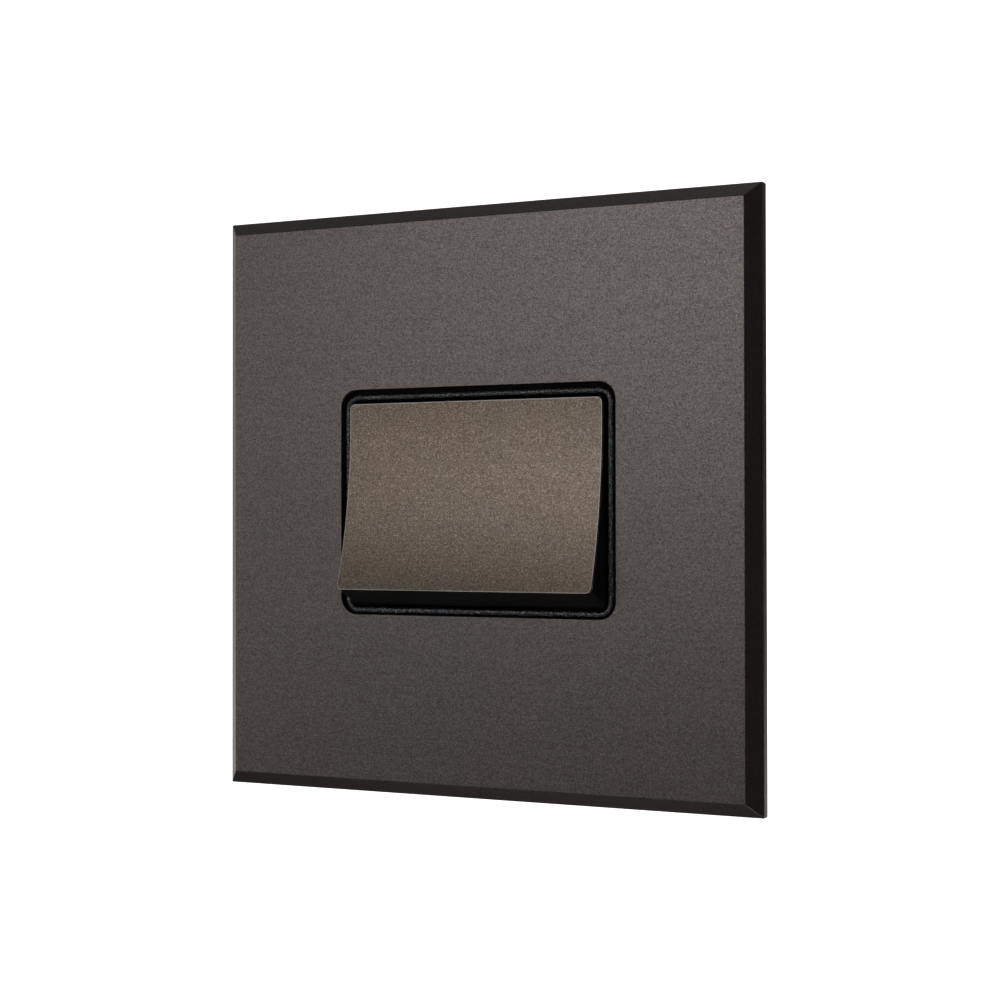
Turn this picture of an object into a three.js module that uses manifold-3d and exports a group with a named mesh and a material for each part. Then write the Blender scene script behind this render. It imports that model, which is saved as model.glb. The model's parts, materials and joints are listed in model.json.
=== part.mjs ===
// A one-gang wall switch: a bevelled metal plate with hidden fixings and one wide rocker for three poles.
// Millimetres. X runs right and Z runs up as seen from the room, and Y runs into the wall.
// The origin is the middle of the plate's outline, on the wall's surface, so the plate stands at negative Y.
import * as THREE from "three";
import { mergeVertices } from "three/addons/utils/BufferGeometryUtils.js";
import Module from "manifold-3d";

const wasm = await Module();
wasm.setup();

// ---------------------------------------------------------------- driving dimensions

const degree = Math.PI / 180;

const clearance = {
  seat: 0.05, // between faces that rest on each other
  slide: 0.1, // round a plunger or a screw in its bore
  turn: 0.08, // round a pivot pin
  fit: 0.3, // round a piece that drops into another
  swing: 0.4, // round what turns with the rocker
};

const plate = { side: 90, thick: 3.5, bevel: 2.1, rim: 3, recessCorner: 1 };
const reveal = { sides: 0.65, ends: 0.6, corner: 0.4 }; // open gap between the plate's window and the trim
const insertDrop = 0.25; // how far the switch insert hangs below the plate's middle

const rocker = {
  width: 42.5,
  height: 28.82,
  dish: 78, // radius of the hollow front
  stand: 2.7, // how far the front's upper and lower edges stand out of the plate when level
  tilt: 8.28, // degrees to each side of level
  flareSides: 0.25,
  flareEnds: 1.59,
  flareDepth: 5.5,
  skirt: 1, // how far the skirt reaches behind the pivot
  wall: 1.6,
  rib: 1.2,
  corner: 0.8,
};
const cap = { thick: 0.5 };
const pivot = { cover: 0.5, radius: 1, grip: 2.9, bossRadius: 2.8, bossDepth: 1.8 };

const trim = { bead: 0.75, recess: 0.32, chamfer: 0.2, corner: 2.3, inCorner: 0.9 };
const flange = { overhang: 2.05, thick: 0.7 };
const leg = { offset: 12, width: 5, thick: 0.8, reach: 3.95, ledge: 0.75, barb: 0.35, nose: 1 };

const frame = { thick: 1.5, corner: 3, boxCentres: 60.3, margin: 0.5 };
const fixing = { radius: 1.7, head: 3.2, length: 25, travel: 4.2, play: 0.25 };
const carrier = { web: 0.6, rim: 2.3, corner: 0.8 };
const hook = { offset: 20, fromEdge: 5.4, width: 6, thick: 1.2, barb: 0.6, nose: 0.9, reach: 2 };

const housing = { wall: 1.35, bearing: 2.95, floor: 1.5, stop: 1, corner: 1.5 };
const pole = { count: 3, divider: 2.4, gap: 0.4 };
const plunger = { radius: 1.75, tip: 1.2, taper: 1.2, reach: 9, back: -0.5, boss: 0.95, guide: 3.5 };
const spring = { wire: 0.3, coil: 1.3, turns: 5, seat: 0.2 };

const contact = { half: 9.5, width: 6, thick: 1, tilt: 9, waist: 2.2, notch: 1.3, corner: 1 };
const tip = { radius: 1.6, flat: 0.96, shoulder: 0.4, thick: 0.65, place: 7.85, gap: 0.12 };
const strap = { width: 6, thick: 1, overrun: 2 };
const knife = { edge: 0.12, half: 0.9, slope: 1 };
const ear = { half: 0.8, above: 0.6 };
const terminal = { width: 6.8, length: 6.8, tunnel: 4.3, roof: 1.4, thread: 3.9, sink: 0.75 };
const base = { wall: 1, back: 2.4, floor: 1.3, webs: 1.4, wireLead: 0.45, travel: 2.3 };

const wireScrew = { radius: 1.7, head: 2.6, headHeight: 2, slot: 0.8 };
const bodyScrew = { radius: 1.1, head: 1.9, headHeight: 1.4, slot: 0.8, inset: 2.6, grip: 3 };
const frameScrew = { radius: 1.3, boss: 3.2, length: 7, web: 4 };
const driver = { span: 1.1, wide: 0.22, deep: 0.3 }; // a head's crossed grooves, as shares of its radius
const earth = { width: 8.6, height: 7, tunnel: 4.3, roof: 1.4, thread: 3, beside: 4, below: 6.8 };

// ---------------------------------------------------------------- places worked out from them

const face = -plate.thick;
const skin = plate.thick - frame.thick - flange.thick - 2 * clearance.seat;
const skinBack = face + skin;
const frameFront = -frame.thick;
const pivotY = pivot.cover + pivot.radius; // behind the wall's surface, which the mounting frame's back is on

const rockerHalfX = rocker.width / 2;
const rockerHalfZ = rocker.height / 2;
const footHalfX = rockerHalfX + rocker.flareSides;
const footHalfZ = rockerHalfZ + rocker.flareEnds;
const rise = pivotY - face + rocker.stand; // from the pivot to the front's upper and lower edges
const dishDrop = rocker.dish - Math.sqrt(rocker.dish ** 2 - rockerHalfZ ** 2);
const waistY = rocker.flareDepth - rise; // where the flared sides turn straight
const sweep = Math.hypot(footHalfZ, waistY); // radius that the skirt turns in
const ceiling = dishDrop - rise + cap.thick + rocker.wall; // inside of the rocker's front wall
const insideX = footHalfX - rocker.wall;
const insideZ = footHalfZ - rocker.wall - clearance.slide * 2;

const trimInX = footHalfX + clearance.fit;
const trimInZ = footHalfZ + clearance.seat; // the skirt is only this high behind the trim
const trimOutX = trimInX + trim.bead;
const trimOutZ = trimInZ + trim.bead;
const trimFront = face + trim.recess;
const windowHalfX = trimOutX + reveal.sides;
const windowHalfZ = trimOutZ + reveal.ends;
const flangeHalfX = trimOutX + flange.overhang;
const flangeHalfZ = trimOutZ + flange.overhang;
const flangeFront = skinBack + clearance.seat;
const flangeBack = flangeFront + flange.thick;
const legEnd = flangeBack + leg.reach;

const cavityHalfX = footHalfX + clearance.swing;
const cavityHalfZ = sweep + clearance.swing;
const collarHalfX = cavityHalfX + housing.wall;
const collarHalfZ = cavityHalfZ + housing.wall;
const collarFront = flangeBack + clearance.seat;
const frameOpenX = collarHalfX + clearance.fit;
const frameOpenZ = Math.max(collarHalfZ, cavityHalfZ + leg.ledge + leg.thick) + clearance.fit;

const sinTilt = Math.sin(rocker.tilt * degree);
const cosTilt = Math.cos(rocker.tilt * degree);
const guideRadius = plunger.radius + plunger.boss;
const skirtReach = rocker.skirt * cosTilt + footHalfZ * sinTilt;
const guideReach = plunger.guide * cosTilt + guideRadius * sinTilt;
const stopTop = pivotY + skirtReach + clearance.slide;
const floorFront = Math.max(stopTop + housing.stop, pivotY + guideReach + clearance.swing);
const floorBack = floorFront + housing.floor;

const sinRock = Math.sin(contact.tilt * degree);
const fulcrumY = pivotY + plunger.reach + clearance.slide + contact.thick;
const tipFace = clearance.seat + tip.thick;
const fixedTipFront = fulcrumY + tipFace + (tip.place + tip.flat) * sinRock + tip.gap;
const platformY = fixedTipFront + tip.thick + clearance.seat;
const strapY = platformY + strap.thick + base.wall / 3;
const strapBack = strapY + strap.thick;

const pitch = (insideX - pivot.bossDepth - pole.gap - guideRadius) / ((pole.count - 1) / 2);
const chamber = pitch - pole.divider;
const polePlaces = Array.from({ length: pole.count }, (_, i) => (i - (pole.count - 1) / 2) * pitch);

const baseFront = floorBack + clearance.seat;
const chamberHalfZ = contact.half + base.travel;
const chamberBack = strapBack + clearance.slide;
const blockInner = chamberHalfZ + base.webs;
const blockOuter = blockInner + terminal.length;
const blockMiddle = (blockInner + blockOuter) / 2;
const pocketEnd = blockOuter + clearance.slide * 2;
const tunnelBack = strapY - terminal.sink;
const tunnelFront = tunnelBack - terminal.tunnel;
const blockFront = tunnelFront - terminal.roof;
const blockBack = tunnelBack + terminal.thread;
const pocketBack = blockBack + clearance.slide * 2;
const baseBack = pocketBack + base.back;
const channelBack = chamberBack + base.floor;
const wireScrewEnd = baseBack - clearance.fit;

const polesHalfX = polePlaces[pole.count - 1] + chamber / 2 + 2 * base.wall;
const bodyHalfX = Math.max(cavityHalfX + housing.bearing, polesHalfX);
const bodyHalfZ = Math.max(pocketEnd + base.wall, cavityHalfZ + 2 * bodyScrew.inset - housing.wall / 2);
const bodyScrewX = bodyHalfX - bodyScrew.inset;
const bodyScrewZ = bodyHalfZ - bodyScrew.inset;
const frameScrewZ = bodyHalfZ + frameScrew.boss - clearance.slide;
const frameScrewHead = frameScrew.radius + frame.thick - clearance.slide;
const pinInner = footHalfX - pivot.grip;

const recessHalf = plate.side / 2 - plate.rim;
const carrierHalf = recessHalf - clearance.fit;
const frameHalf = carrierHalf - carrier.rim - frame.margin;
const webFront = skinBack + clearance.seat;
const webBack = webFront + carrier.web;
const hookInner = frameHalf - hook.fromEdge;
const hookOuter = hookInner + hook.thick;
const fixingX = Math.max(frame.boxCentres / 2, bodyHalfX + fixing.head + clearance.fit);

const earthX = -(bodyHalfX + earth.beside);
const earthZ = -(bodyHalfZ + earth.below);
const earthTunnelFront = clearance.slide + earth.roof;
const earthTunnelBack = earthTunnelFront + earth.tunnel;
const earthBack = earthTunnelBack + earth.thread;
const earthScrewEnd = earthBack + clearance.fit + wireScrew.headHeight;

const sides = [-1, 1];
const corners = [[-1, 1], [1, 1], [-1, -1], [1, -1]];

// ---------------------------------------------------------------- shape helpers

const arcSteps = 2; // steps in half of a rounded corner
const pinSides = 24;
const boreSides = 16;
const screwSides = 12;
const past = 1; // how far a cutting tool runs past the face it cuts
const root = 0.2; // how far a joined piece is sunk into the one it stands on

const mirrored = (side, near, far) => [side * near, side * far].sort((a, b) => a - b);

// A rounded rectangle drawn in X and Z.
function roundRect(halfX, halfZ, radius, x = 0, z = 0) {
  const shape = new THREE.Shape();
  const quarter = (sx, sz, from) => {
    const middleX = x + sx * (halfX - radius);
    const middleZ = z + sz * (halfZ - radius);
    shape.absarc(middleX, middleZ, radius, from * degree, (from + 90) * degree);
  };
  quarter(1, 1, 0);
  quarter(-1, 1, 90);
  quarter(-1, -1, 180);
  quarter(1, -1, 270);
  shape.closePath();
  return shape;
}

// A slot with round ends that runs along Z.
function stadium(radius, travel, x) {
  return roundRect(radius, radius + travel / 2, radius * 0.999, x, 0);
}

// A straight-sided outline from a list of corners.
function outline(points) {
  return new THREE.Shape(points.map(([a, b]) => new THREE.Vector2(a, b)));
}

// A shape drawn in X and Z, from near to far along Y.
function slab(shape, near, far, options = {}) {
  const settings = { depth: far - near, bevelEnabled: false, curveSegments: arcSteps, ...options };
  return new THREE.ExtrudeGeometry(shape, settings).rotateX(90 * degree).translate(0, far, 0);
}

// A shape drawn in Y and Z, from left to right along X.
function bar(shape, [left, right]) {
  const settings = { depth: right - left, bevelEnabled: false, curveSegments: arcSteps };
  const turn = new THREE.Matrix4().makeBasis(
    new THREE.Vector3(0, 1, 0),
    new THREE.Vector3(0, 0, 1),
    new THREE.Vector3(1, 0, 0),
  );
  return new THREE.ExtrudeGeometry(shape, settings).applyMatrix4(turn).translate(left, 0, 0);
}

// A plain block between its lowest and highest X, Y and Z.
function block([x0, x1], [y0, y1], [z0, z1]) {
  const made = new THREE.BoxGeometry(x1 - x0, y1 - y0, z1 - z0);
  return made.translate((x0 + x1) / 2, (y0 + y1) / 2, (z0 + z1) / 2);
}

// A round rod along Y.
function rod(radius, near, far, x = 0, z = 0, count = boreSides) {
  return new THREE.CylinderGeometry(radius, radius, far - near, count).translate(x, (near + far) / 2, z);
}

// A round rod along X.
function axle(radius, [left, right], y) {
  const made = new THREE.CylinderGeometry(radius, radius, right - left, pinSides);
  return made.rotateZ(90 * degree).translate((left + right) / 2, y, 0);
}

// A turned piece along Y, from radii and distances that start and end on its axis.
function turned(points, count = boreSides) {
  return new THREE.LatheGeometry(points.map(([r, y]) => new THREE.Vector2(r, y)), count);
}

function toSolid(geometry) {
  const bare = geometry.clone();
  bare.deleteAttribute("normal");
  bare.deleteAttribute("uv");
  const merged = mergeVertices(bare, 1e-4);
  const vertProperties = merged.attributes.position.array;
  const triVerts = new Uint32Array(merged.index.array);
  return new wasm.Manifold(new wasm.Mesh({ numProp: 3, vertProperties, triVerts }));
}

function toGeometry(solid) {
  const mesh = solid.getMesh();
  const made = new THREE.BufferGeometry();
  made.setAttribute("position", new THREE.BufferAttribute(mesh.vertProperties, 3));
  made.setIndex(new THREE.BufferAttribute(mesh.triVerts, 1));
  made.computeVertexNormals();
  return made;
}

const join = (...pieces) => toGeometry(pieces.map(toSolid).reduce((a, b) => a.add(b)));
const cut = (whole, ...tools) =>
  toGeometry(tools.map(toSolid).reduce((a, b) => a.subtract(b), toSolid(whole)));
const shared = (...pieces) => toGeometry(pieces.map(toSolid).reduce((a, b) => a.intersect(b)));

// ---------------------------------------------------------------- materials

const finish = (color, roughness, metalness) => () =>
  new THREE.MeshStandardMaterial({ color, roughness, metalness });

const materials = {
  bronze: finish(0x4a4340, 0.42, 0.9),
  paleBronze: finish(0x6b6055, 0.4, 0.9),
  black: finish(0x0c0c0d, 0.5, 0),
  moulding: finish(0x1b1b1d, 0.55, 0),
  zinc: finish(0xa9adb0, 0.4, 0.9),
  steel: finish(0x8f9194, 0.35, 1),
  brass: finish(0xb08d4b, 0.35, 1),
  copper: finish(0xb06a45, 0.35, 1),
  silver: finish(0xd6d7d9, 0.3, 1),
  nylon: finish(0xd9d5c8, 0.5, 0),
};

function piece(name, geometry, material, place = [0, 0, 0]) {
  const mesh = new THREE.Mesh(geometry, materials[material]());
  mesh.name = name;
  mesh.position.set(...place);
  return mesh;
}

// ---------------------------------------------------------------- screws

// Two crossed grooves for a driver, sunk from the front of a head.
function driveCross(front, head) {
  const y = [front - past, front + head * driver.deep];
  const long = [-head, head].map((reach) => (reach * driver.span) / 2);
  const short = [-head, head].map((reach) => (reach * driver.wide) / 2);
  return [block(long, y, short), block(short, y, long)];
}

// A countersunk screw whose head lies flush with the mounting frame's front.
function countersunkScrew({ radius, length }, head) {
  const front = frameFront + clearance.seat;
  const end = front + length;
  const profile = [
    [0, front],
    [head, front],
    [radius, front + head - radius],
    [radius, end - radius / 2],
    [radius / 2, end],
    [0, end],
  ];
  return cut(turned(profile, screwSides), ...driveCross(front, head));
}

// A slotted screw. Its head's outer face is at y = 0 and its shank runs to negative Y.
function cheeseScrew({ radius, head, headHeight, slot }, length) {
  const edge = headHeight / 8;
  const profile = [
    [0, -length],
    [radius / 2, -length],
    [radius, -length + radius / 2],
    [radius, -headHeight],
    [head, -headHeight],
    [head, -edge],
    [head - edge, 0],
    [0, 0],
  ];
  const groove = block([-head - past, head + past], [-headHeight / 2, past], [-slot / 2, slot / 2]);
  return cut(turned(profile, screwSides), groove);
}

// ---------------------------------------------------------------- plate, carrier and mounting frame

// A lathe with four sides is a square, so the bevels meet in mitres at the corners.
function facePlate() {
  const outer = (plate.side / 2) * Math.SQRT2;
  const inner = (plate.side / 2 - plate.bevel) * Math.SQRT2;
  const profile = [[0, face], [inner, face], [outer, face + plate.bevel], [outer, 0], [0, 0]];
  const body = turned(profile, 4).rotateY(45 * degree);
  const recess = slab(roundRect(recessHalf, recessHalf, plate.recessCorner), skinBack, past);
  const window = slab(roundRect(windowHalfX, windowHalfZ, trim.corner + reveal.corner), face - past, past);
  return cut(body, recess, window);
}

// The moulded tray behind the plate. Its hooks snap into the mounting frame.
function carrierFrame() {
  const inside = carrierHalf - carrier.rim;
  const openX = flangeHalfX + 2 * reveal.corner;
  const openZ = flangeHalfZ + insertDrop + 2 * reveal.corner;
  const screwGap = fixing.head + 2 * clearance.fit;
  const holeRadius = frameScrewHead + clearance.fit;
  const tray = cut(
    slab(roundRect(carrierHalf, carrierHalf, carrier.corner), webFront, -clearance.fit),
    slab(roundRect(inside, inside, carrier.corner), webBack, past),
    slab(roundRect(openX, openZ, trim.corner), face, past),
    ...sides.map((side) => slab(stadium(screwGap, fixing.travel, side * fixingX), face, past)),
    ...sides.map((side) => rod(holeRadius, face, past, 0, side * frameScrewZ - insertDrop)),
  );
  return join(tray, ...corners.map(([sx, sz]) => carrierHook(sx, sz)));
}

function carrierHook(sx, sz) {
  const noseFront = clearance.fit;
  const profile = [
    [webBack - root, hookInner],
    [hook.reach, hookInner],
    [hook.reach, hookOuter],
    [noseFront + hook.nose, hookOuter + hook.barb],
    [noseFront, hookOuter + hook.barb],
    [noseFront, hookOuter],
    [webBack - root, hookOuter],
  ].map(([y, z]) => [y, sz * z]);
  const left = sx * hook.offset - hook.width / 2;
  return bar(outline(profile), [left, left + hook.width]);
}

// The pressed steel plate that is screwed to the wall box.
function mountingFrame() {
  const sheet = slab(roundRect(frameHalf, frameHalf, frame.corner), frameFront, 0);
  const opening = roundRect(frameOpenX, frameOpenZ, housing.corner, 0, -insertDrop);
  return cut(
    sheet,
    slab(opening, frameFront - past, past),
    ...sides.map((side) => countersunkSlot(side * fixingX)),
    ...sides.map((side) => countersink(side * frameScrewZ - insertDrop)),
    ...corners.map(([sx, sz]) => hookWindow(sx, sz)),
  );
}

function hookWindow(sx, sz) {
  const half = hook.width / 2 + clearance.fit;
  const x = [sx * hook.offset - half, sx * hook.offset + half];
  const z = mirrored(sz, hookInner - clearance.fit, hookOuter + clearance.fit);
  return block(x, [frameFront - past, past], z);
}

// A slot whose front edge is sunk for the fixing screw's conical head.
function countersunkSlot(x) {
  const slope = fixing.head - fixing.radius;
  const shape = stadium(fixing.radius + fixing.play, fixing.travel, x);
  const bevel = { bevelEnabled: true, bevelSize: slope, bevelThickness: slope, bevelSegments: 1 };
  return join(
    slab(shape, frameFront - past, past),
    slab(shape, frameFront - past, frameFront, bevel),
  );
}

function countersink(z) {
  const narrow = frameScrew.radius + clearance.slide;
  const wide = frameScrewHead + clearance.slide;
  const profile = [
    [0, frameFront - past],
    [wide, frameFront - past],
    [wide, frameFront],
    [narrow, frameFront + wide - narrow],
    [narrow, past],
    [0, past],
  ];
  return turned(profile).translate(0, 0, z);
}

// ---------------------------------------------------------------- trim

// The black collar round the rocker, whose rounded bead stands just below the plate's face.
function trimCollar() {
  const c = trim.chamfer;
  const ring = join(
    slab(roundRect(trimOutX, trimOutZ, trim.corner), trimFront + c, flangeBack),
    slab(roundRect(trimOutX - c, trimOutZ - c, trim.corner - c), trimFront, trimFront + c + root),
    slab(roundRect(flangeHalfX, flangeHalfZ, trim.corner), flangeFront, flangeBack),
  );
  const opened = cut(
    ring,
    slab(roundRect(trimInX, trimInZ, trim.inCorner), face, past),
    slab(roundRect(trimInX + c, trimInZ + c, trim.inCorner + c), face, trimFront + c),
  );
  return join(opened, ...corners.map(([sx, sz]) => trimLeg(sx, sz)));
}

// A snap leg that drops into a notch in the housing, with a barb that faces the rocker.
function trimLeg(sx, sz) {
  const inner = cavityHalfZ + leg.ledge + clearance.slide;
  const outer = inner + leg.thick;
  const profile = [
    [flangeBack - root, inner],
    [flangeBack - root, outer],
    [legEnd, outer],
    [legEnd, inner],
    [legEnd - leg.nose, inner - leg.barb],
    [legEnd - leg.nose - clearance.fit, inner],
  ].map(([y, z]) => [y, sz * z]);
  const left = sx * leg.offset - leg.width / 2;
  return bar(outline(profile), [left, left + leg.width]);
}

// The notch for a leg, and the window that its barb snaps into.
function trimNotches(sx, sz) {
  const half = leg.width / 2 + clearance.fit;
  const x = [sx * leg.offset - half, sx * leg.offset + half];
  const inner = cavityHalfZ + leg.ledge;
  const outer = inner + leg.thick + 2 * clearance.fit;
  const back = legEnd + clearance.swing;
  const windowFront = legEnd - leg.nose - 2 * clearance.fit;
  return [
    block(x, [collarFront - past, back], mirrored(sz, inner, outer)),
    block(x, [windowFront, back], mirrored(sz, cavityHalfZ - root, inner + clearance.slide)),
  ];
}

// ---------------------------------------------------------------- rocker and plungers
// They are drawn level, with the pivot at the origin.

// Points along the rocker's hollow front, sunk by a depth below the metal cap's surface.
function dishArc(sunk) {
  const centre = dishDrop - rise - rocker.dish;
  const radius = rocker.dish + sunk;
  const half = Math.asin((footHalfZ + past) / radius);
  const steps = 14;
  return Array.from({ length: steps + 1 }, (_, i) => {
    const angle = half * ((2 * i) / steps - 1);
    return [centre + radius * Math.cos(angle), radius * Math.sin(angle)];
  });
}

// A rounded bar whose sides and ends spread as they go back.
function flaredBlock(near, far) {
  const made = slab(roundRect(rockerHalfX, rockerHalfZ, rocker.corner), near, far);
  const spreadX = rocker.flareSides / rocker.flareDepth / rockerHalfX;
  const spreadZ = rocker.flareEnds / rocker.flareDepth / rockerHalfZ;
  const at = made.attributes.position;
  for (let i = 0; i < at.count; i++) {
    const back = at.getY(i) + rise;
    at.setX(i, at.getX(i) * (1 + spreadX * back));
    at.setZ(i, at.getZ(i) * (1 + spreadZ * back));
  }
  return made;
}

function rockerShell() {
  const side = outline([
    ...dishArc(cap.thick + clearance.seat),
    [waistY, footHalfZ + past],
    [waistY, footHalfZ],
    [rocker.skirt, footHalfZ],
    [rocker.skirt, -footHalfZ],
    [waistY, -footHalfZ],
    [waistY, -footHalfZ - past],
  ]);
  const wide = [-footHalfX - past, footHalfX + past];
  const shell = shared(bar(side, wide), flaredBlock(-rise - past, rocker.skirt + past));
  return cut(shell, block([-insideX, insideX], [ceiling, rocker.skirt + past], [-insideZ, insideZ]));
}

// The rocker's body: a shell with a guide for each plunger and a bearing boss at each end.
function rockerBody() {
  const bossInner = insideX - pivot.bossDepth;
  const ribX = [-insideX - root, insideX + root];
  const cored = join(
    rockerShell(),
    block(ribX, [ceiling - root, 0], [-rocker.rib / 2, rocker.rib / 2]),
    ...polePlaces.map((x) => rod(guideRadius, ceiling - root, plunger.guide, x)),
    ...sides.map((side) => axle(pivot.bossRadius, mirrored(side, bossInner, insideX + root), 0)),
  );
  const bore = plunger.radius + clearance.slide;
  const pinBore = pivot.radius + clearance.turn;
  return cut(
    cored,
    ...polePlaces.map((x) => rod(bore, ceiling + root, plunger.guide + past, x)),
    ...sides.map((side) => axle(pinBore, mirrored(side, bossInner - root, footHalfX + past), 0)),
  );
}

// The metal skin on the rocker's front.
function rockerCap() {
  const sheet = outline([...dishArc(0), ...dishArc(cap.thick).reverse()]);
  const wide = [-rockerHalfX - past, rockerHalfX + past];
  const column = slab(roundRect(rockerHalfX, rockerHalfZ, rocker.corner), -rise - past, 0);
  return shared(bar(sheet, wide), column);
}

function plungerPin() {
  const { radius, tip: nose, taper, reach, back } = plunger;
  const steps = 4;
  const dome = Array.from({ length: steps }, (_, i) => {
    const angle = (i * 90 * degree) / steps;
    return [nose * Math.cos(angle), reach - nose + nose * Math.sin(angle)];
  });
  const neck = reach - nose - taper;
  const shank = [[0, back], [radius, back], [radius, neck - taper], [nose, neck]];
  return turned([...shank, ...dome, [0, reach]], screwSides);
}

class Coil extends THREE.Curve {
  constructor(radius, near, far, turns) {
    super();
    Object.assign(this, { radius, near, far, turns });
  }
  getPoint(t, target = new THREE.Vector3()) {
    const angle = t * this.turns * 360 * degree;
    const y = this.near + (this.far - this.near) * t;
    return target.set(this.radius * Math.cos(angle), y, this.radius * Math.sin(angle));
  }
}

// The coil spring between the bottom of a plunger's bore and the plunger.
function plungerSpring() {
  const stepsPerTurn = 8;
  const end = spring.wire / 2 + clearance.slide;
  const path = new Coil(spring.coil, ceiling + root + end + spring.seat, plunger.back - end, spring.turns);
  const section = new THREE.Shape().absarc(0, 0, spring.wire / 2, 0, 360 * degree);
  return new THREE.ExtrudeGeometry(section, {
    steps: spring.turns * stepsPerTurn,
    extrudePath: path,
    curveSegments: 3,
    bevelEnabled: false,
  });
}

// ---------------------------------------------------------------- housing

// The front half of the mechanism. It holds the pivot pins and has a window for each plunger.
function rockerHousing() {
  const mouth = slab(roundRect(collarHalfX, collarHalfZ, housing.corner), collarFront, floorBack);
  const body = slab(roundRect(bodyHalfX, bodyHalfZ, housing.corner), clearance.slide, floorBack);
  const cavity = slab(roundRect(cavityHalfX, cavityHalfZ, rocker.corner), collarFront - past, floorFront);
  const shell = cut(join(mouth, body, ...sides.map(housingEar)), cavity);
  const solid = join(shell, ...sides.map(rockerStop), ...polePlaces.flatMap(terminalKeepers));
  const pinBore = pivot.radius + clearance.seat;
  const gripFront = floorBack - 2 * bodyScrew.grip;
  return cut(
    solid,
    ...polePlaces.map(plungerWindow),
    axle(pinBore, [-bodyHalfX - past, bodyHalfX + past], pivotY),
    ...corners.flatMap(([sx, sz]) => trimNotches(sx, sz)),
    ...corners.map(([sx, sz]) => screwBore(bodyScrew, gripFront, sx * bodyScrewX, sz * bodyScrewZ)),
    ...sides.map((side) => screwBore(frameScrew, -past, 0, side * frameScrewZ)),
  );
}

function screwBore({ radius }, near, x, z) {
  return rod(radius + clearance.slide, near, floorBack + past, x, z, screwSides);
}

// The lug above or below the housing that a frame screw goes into.
function housingEar(side) {
  const { boss, length, web } = frameScrew;
  const near = clearance.slide;
  const x = [-boss, boss];
  return join(
    rod(boss, near, near + length - past, 0, side * frameScrewZ),
    block(x, [near, near + web], mirrored(side, bodyHalfZ - past, frameScrewZ)),
  );
}

// The rib that the rocker's skirt comes to rest on.
function rockerStop(side) {
  const halfX = insideX;
  const thick = rocker.wall - clearance.slide * 4;
  const outer = footHalfZ - clearance.slide * 2;
  return block([-halfX, halfX], [stopTop, floorFront + root], mirrored(side, outer - thick, outer));
}

// The pads that hold a pole's two terminals down in the base.
function terminalKeepers(x) {
  const half = terminal.width / 2 - base.wall;
  return sides.map((side) => {
    const z = mirrored(side, blockInner + base.wall, blockOuter - base.wall);
    return block([x - half, x + half], [floorBack - root, blockFront - clearance.slide], z);
  });
}

function plungerWindow(x) {
  const swing = ((floorBack - pivotY) * sinTilt) / cosTilt;
  const halfX = plunger.radius + 2 * clearance.fit;
  const halfZ = plunger.radius + swing + clearance.swing;
  return block([x - halfX, x + halfX], [floorFront - past, floorBack + past], [-halfZ, halfZ]);
}

// ---------------------------------------------------------------- base

// The rear half. Each pole has a chamber for its rocking contact and a pocket at each end for a terminal.
function baseMoulding() {
  const body = slab(roundRect(bodyHalfX, bodyHalfZ, housing.corner), baseFront, baseBack);
  const channelHalfZ = chamberHalfZ - base.floor;
  const allX = [-bodyHalfX - past, bodyHalfX + past];
  return cut(
    body,
    block(allX, [channelBack, baseBack + past], [-channelHalfZ, channelHalfZ]),
    ...polePlaces.map(contactChamber),
    ...polePlaces.flatMap((x) => sides.flatMap((side) => terminalPocket(x, side))),
    ...corners.flatMap(([sx, sz]) => bodyScrewWell(sx * bodyScrewX, sz * bodyScrewZ)),
  );
}

function contactChamber(x) {
  const chamberX = [x - chamber / 2, x + chamber / 2];
  return block(chamberX, [baseFront - past, chamberBack], [-chamberHalfZ, chamberHalfZ]);
}

// The hollow for a terminal, the way in for its wire and the well for its screw.
function terminalPocket(x, side) {
  const half = terminal.width / 2 + clearance.slide * 2;
  const wire = terminal.tunnel / 2 + base.wireLead;
  const wireY = [tunnelFront - base.wireLead, tunnelBack + base.wireLead];
  const pocketZ = mirrored(side, chamberHalfZ - root, pocketEnd);
  return [
    block([x - half, x + half], [baseFront - past, pocketBack], pocketZ),
    block([x - wire, x + wire], wireY, mirrored(side, pocketEnd - past, bodyHalfZ + past)),
    rod(wireScrew.head + clearance.fit, pocketBack - past, baseBack + past, x, side * blockMiddle),
  ];
}

function bodyScrewWell(x, z) {
  const seat = baseBack - bodyScrew.headHeight - clearance.slide * 2;
  return [
    rod(bodyScrew.radius + clearance.slide, baseFront - past, baseBack + past, x, z, screwSides),
    rod(bodyScrew.head + clearance.slide, seat, baseBack + past, x, z, screwSides),
  ];
}

// ---------------------------------------------------------------- contacts and terminals

// A contact strip that rocks on its fulcrum, drawn level with the fulcrum line at the origin.
function movingContact() {
  const { half, thick, waist, notch, corner } = contact;
  const w = contact.width / 2;
  const strip = slab(roundRect(w, half, corner), -thick, 0);
  const through = [-thick - past, past];
  const notches = sides.map((side) => block(mirrored(side, waist, w + past), through, [-notch, notch]));
  return cut(strip, ...notches);
}

// A silver contact face on its seat at y = 0, with its dome towards the given side.
function contactTip(side) {
  const { radius, flat, shoulder, thick } = tip;
  const made = turned([[0, 0], [radius, 0], [radius, shoulder], [flat, thick], [0, thick]]);
  return side > 0 ? made : made.rotateX(180 * degree);
}

// The brass block that clamps a wire, with a square tunnel along Z and a threaded hole from behind.
function wireClamp(width, [near, far], [low, high], [tunnelNear, tunnelFar]) {
  const middle = (low + high) / 2;
  const wide = (tunnelFar - tunnelNear) / 2;
  const body = block([-width / 2, width / 2], [near, far], [low, high]);
  const tunnel = block([-wide, wide], [tunnelNear, tunnelFar], [low - past, high + past]);
  const thread = rod(wireScrew.radius + clearance.slide, tunnelFar - root, far + past, 0, middle);
  return { body, tools: [tunnel, thread] };
}

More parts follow.
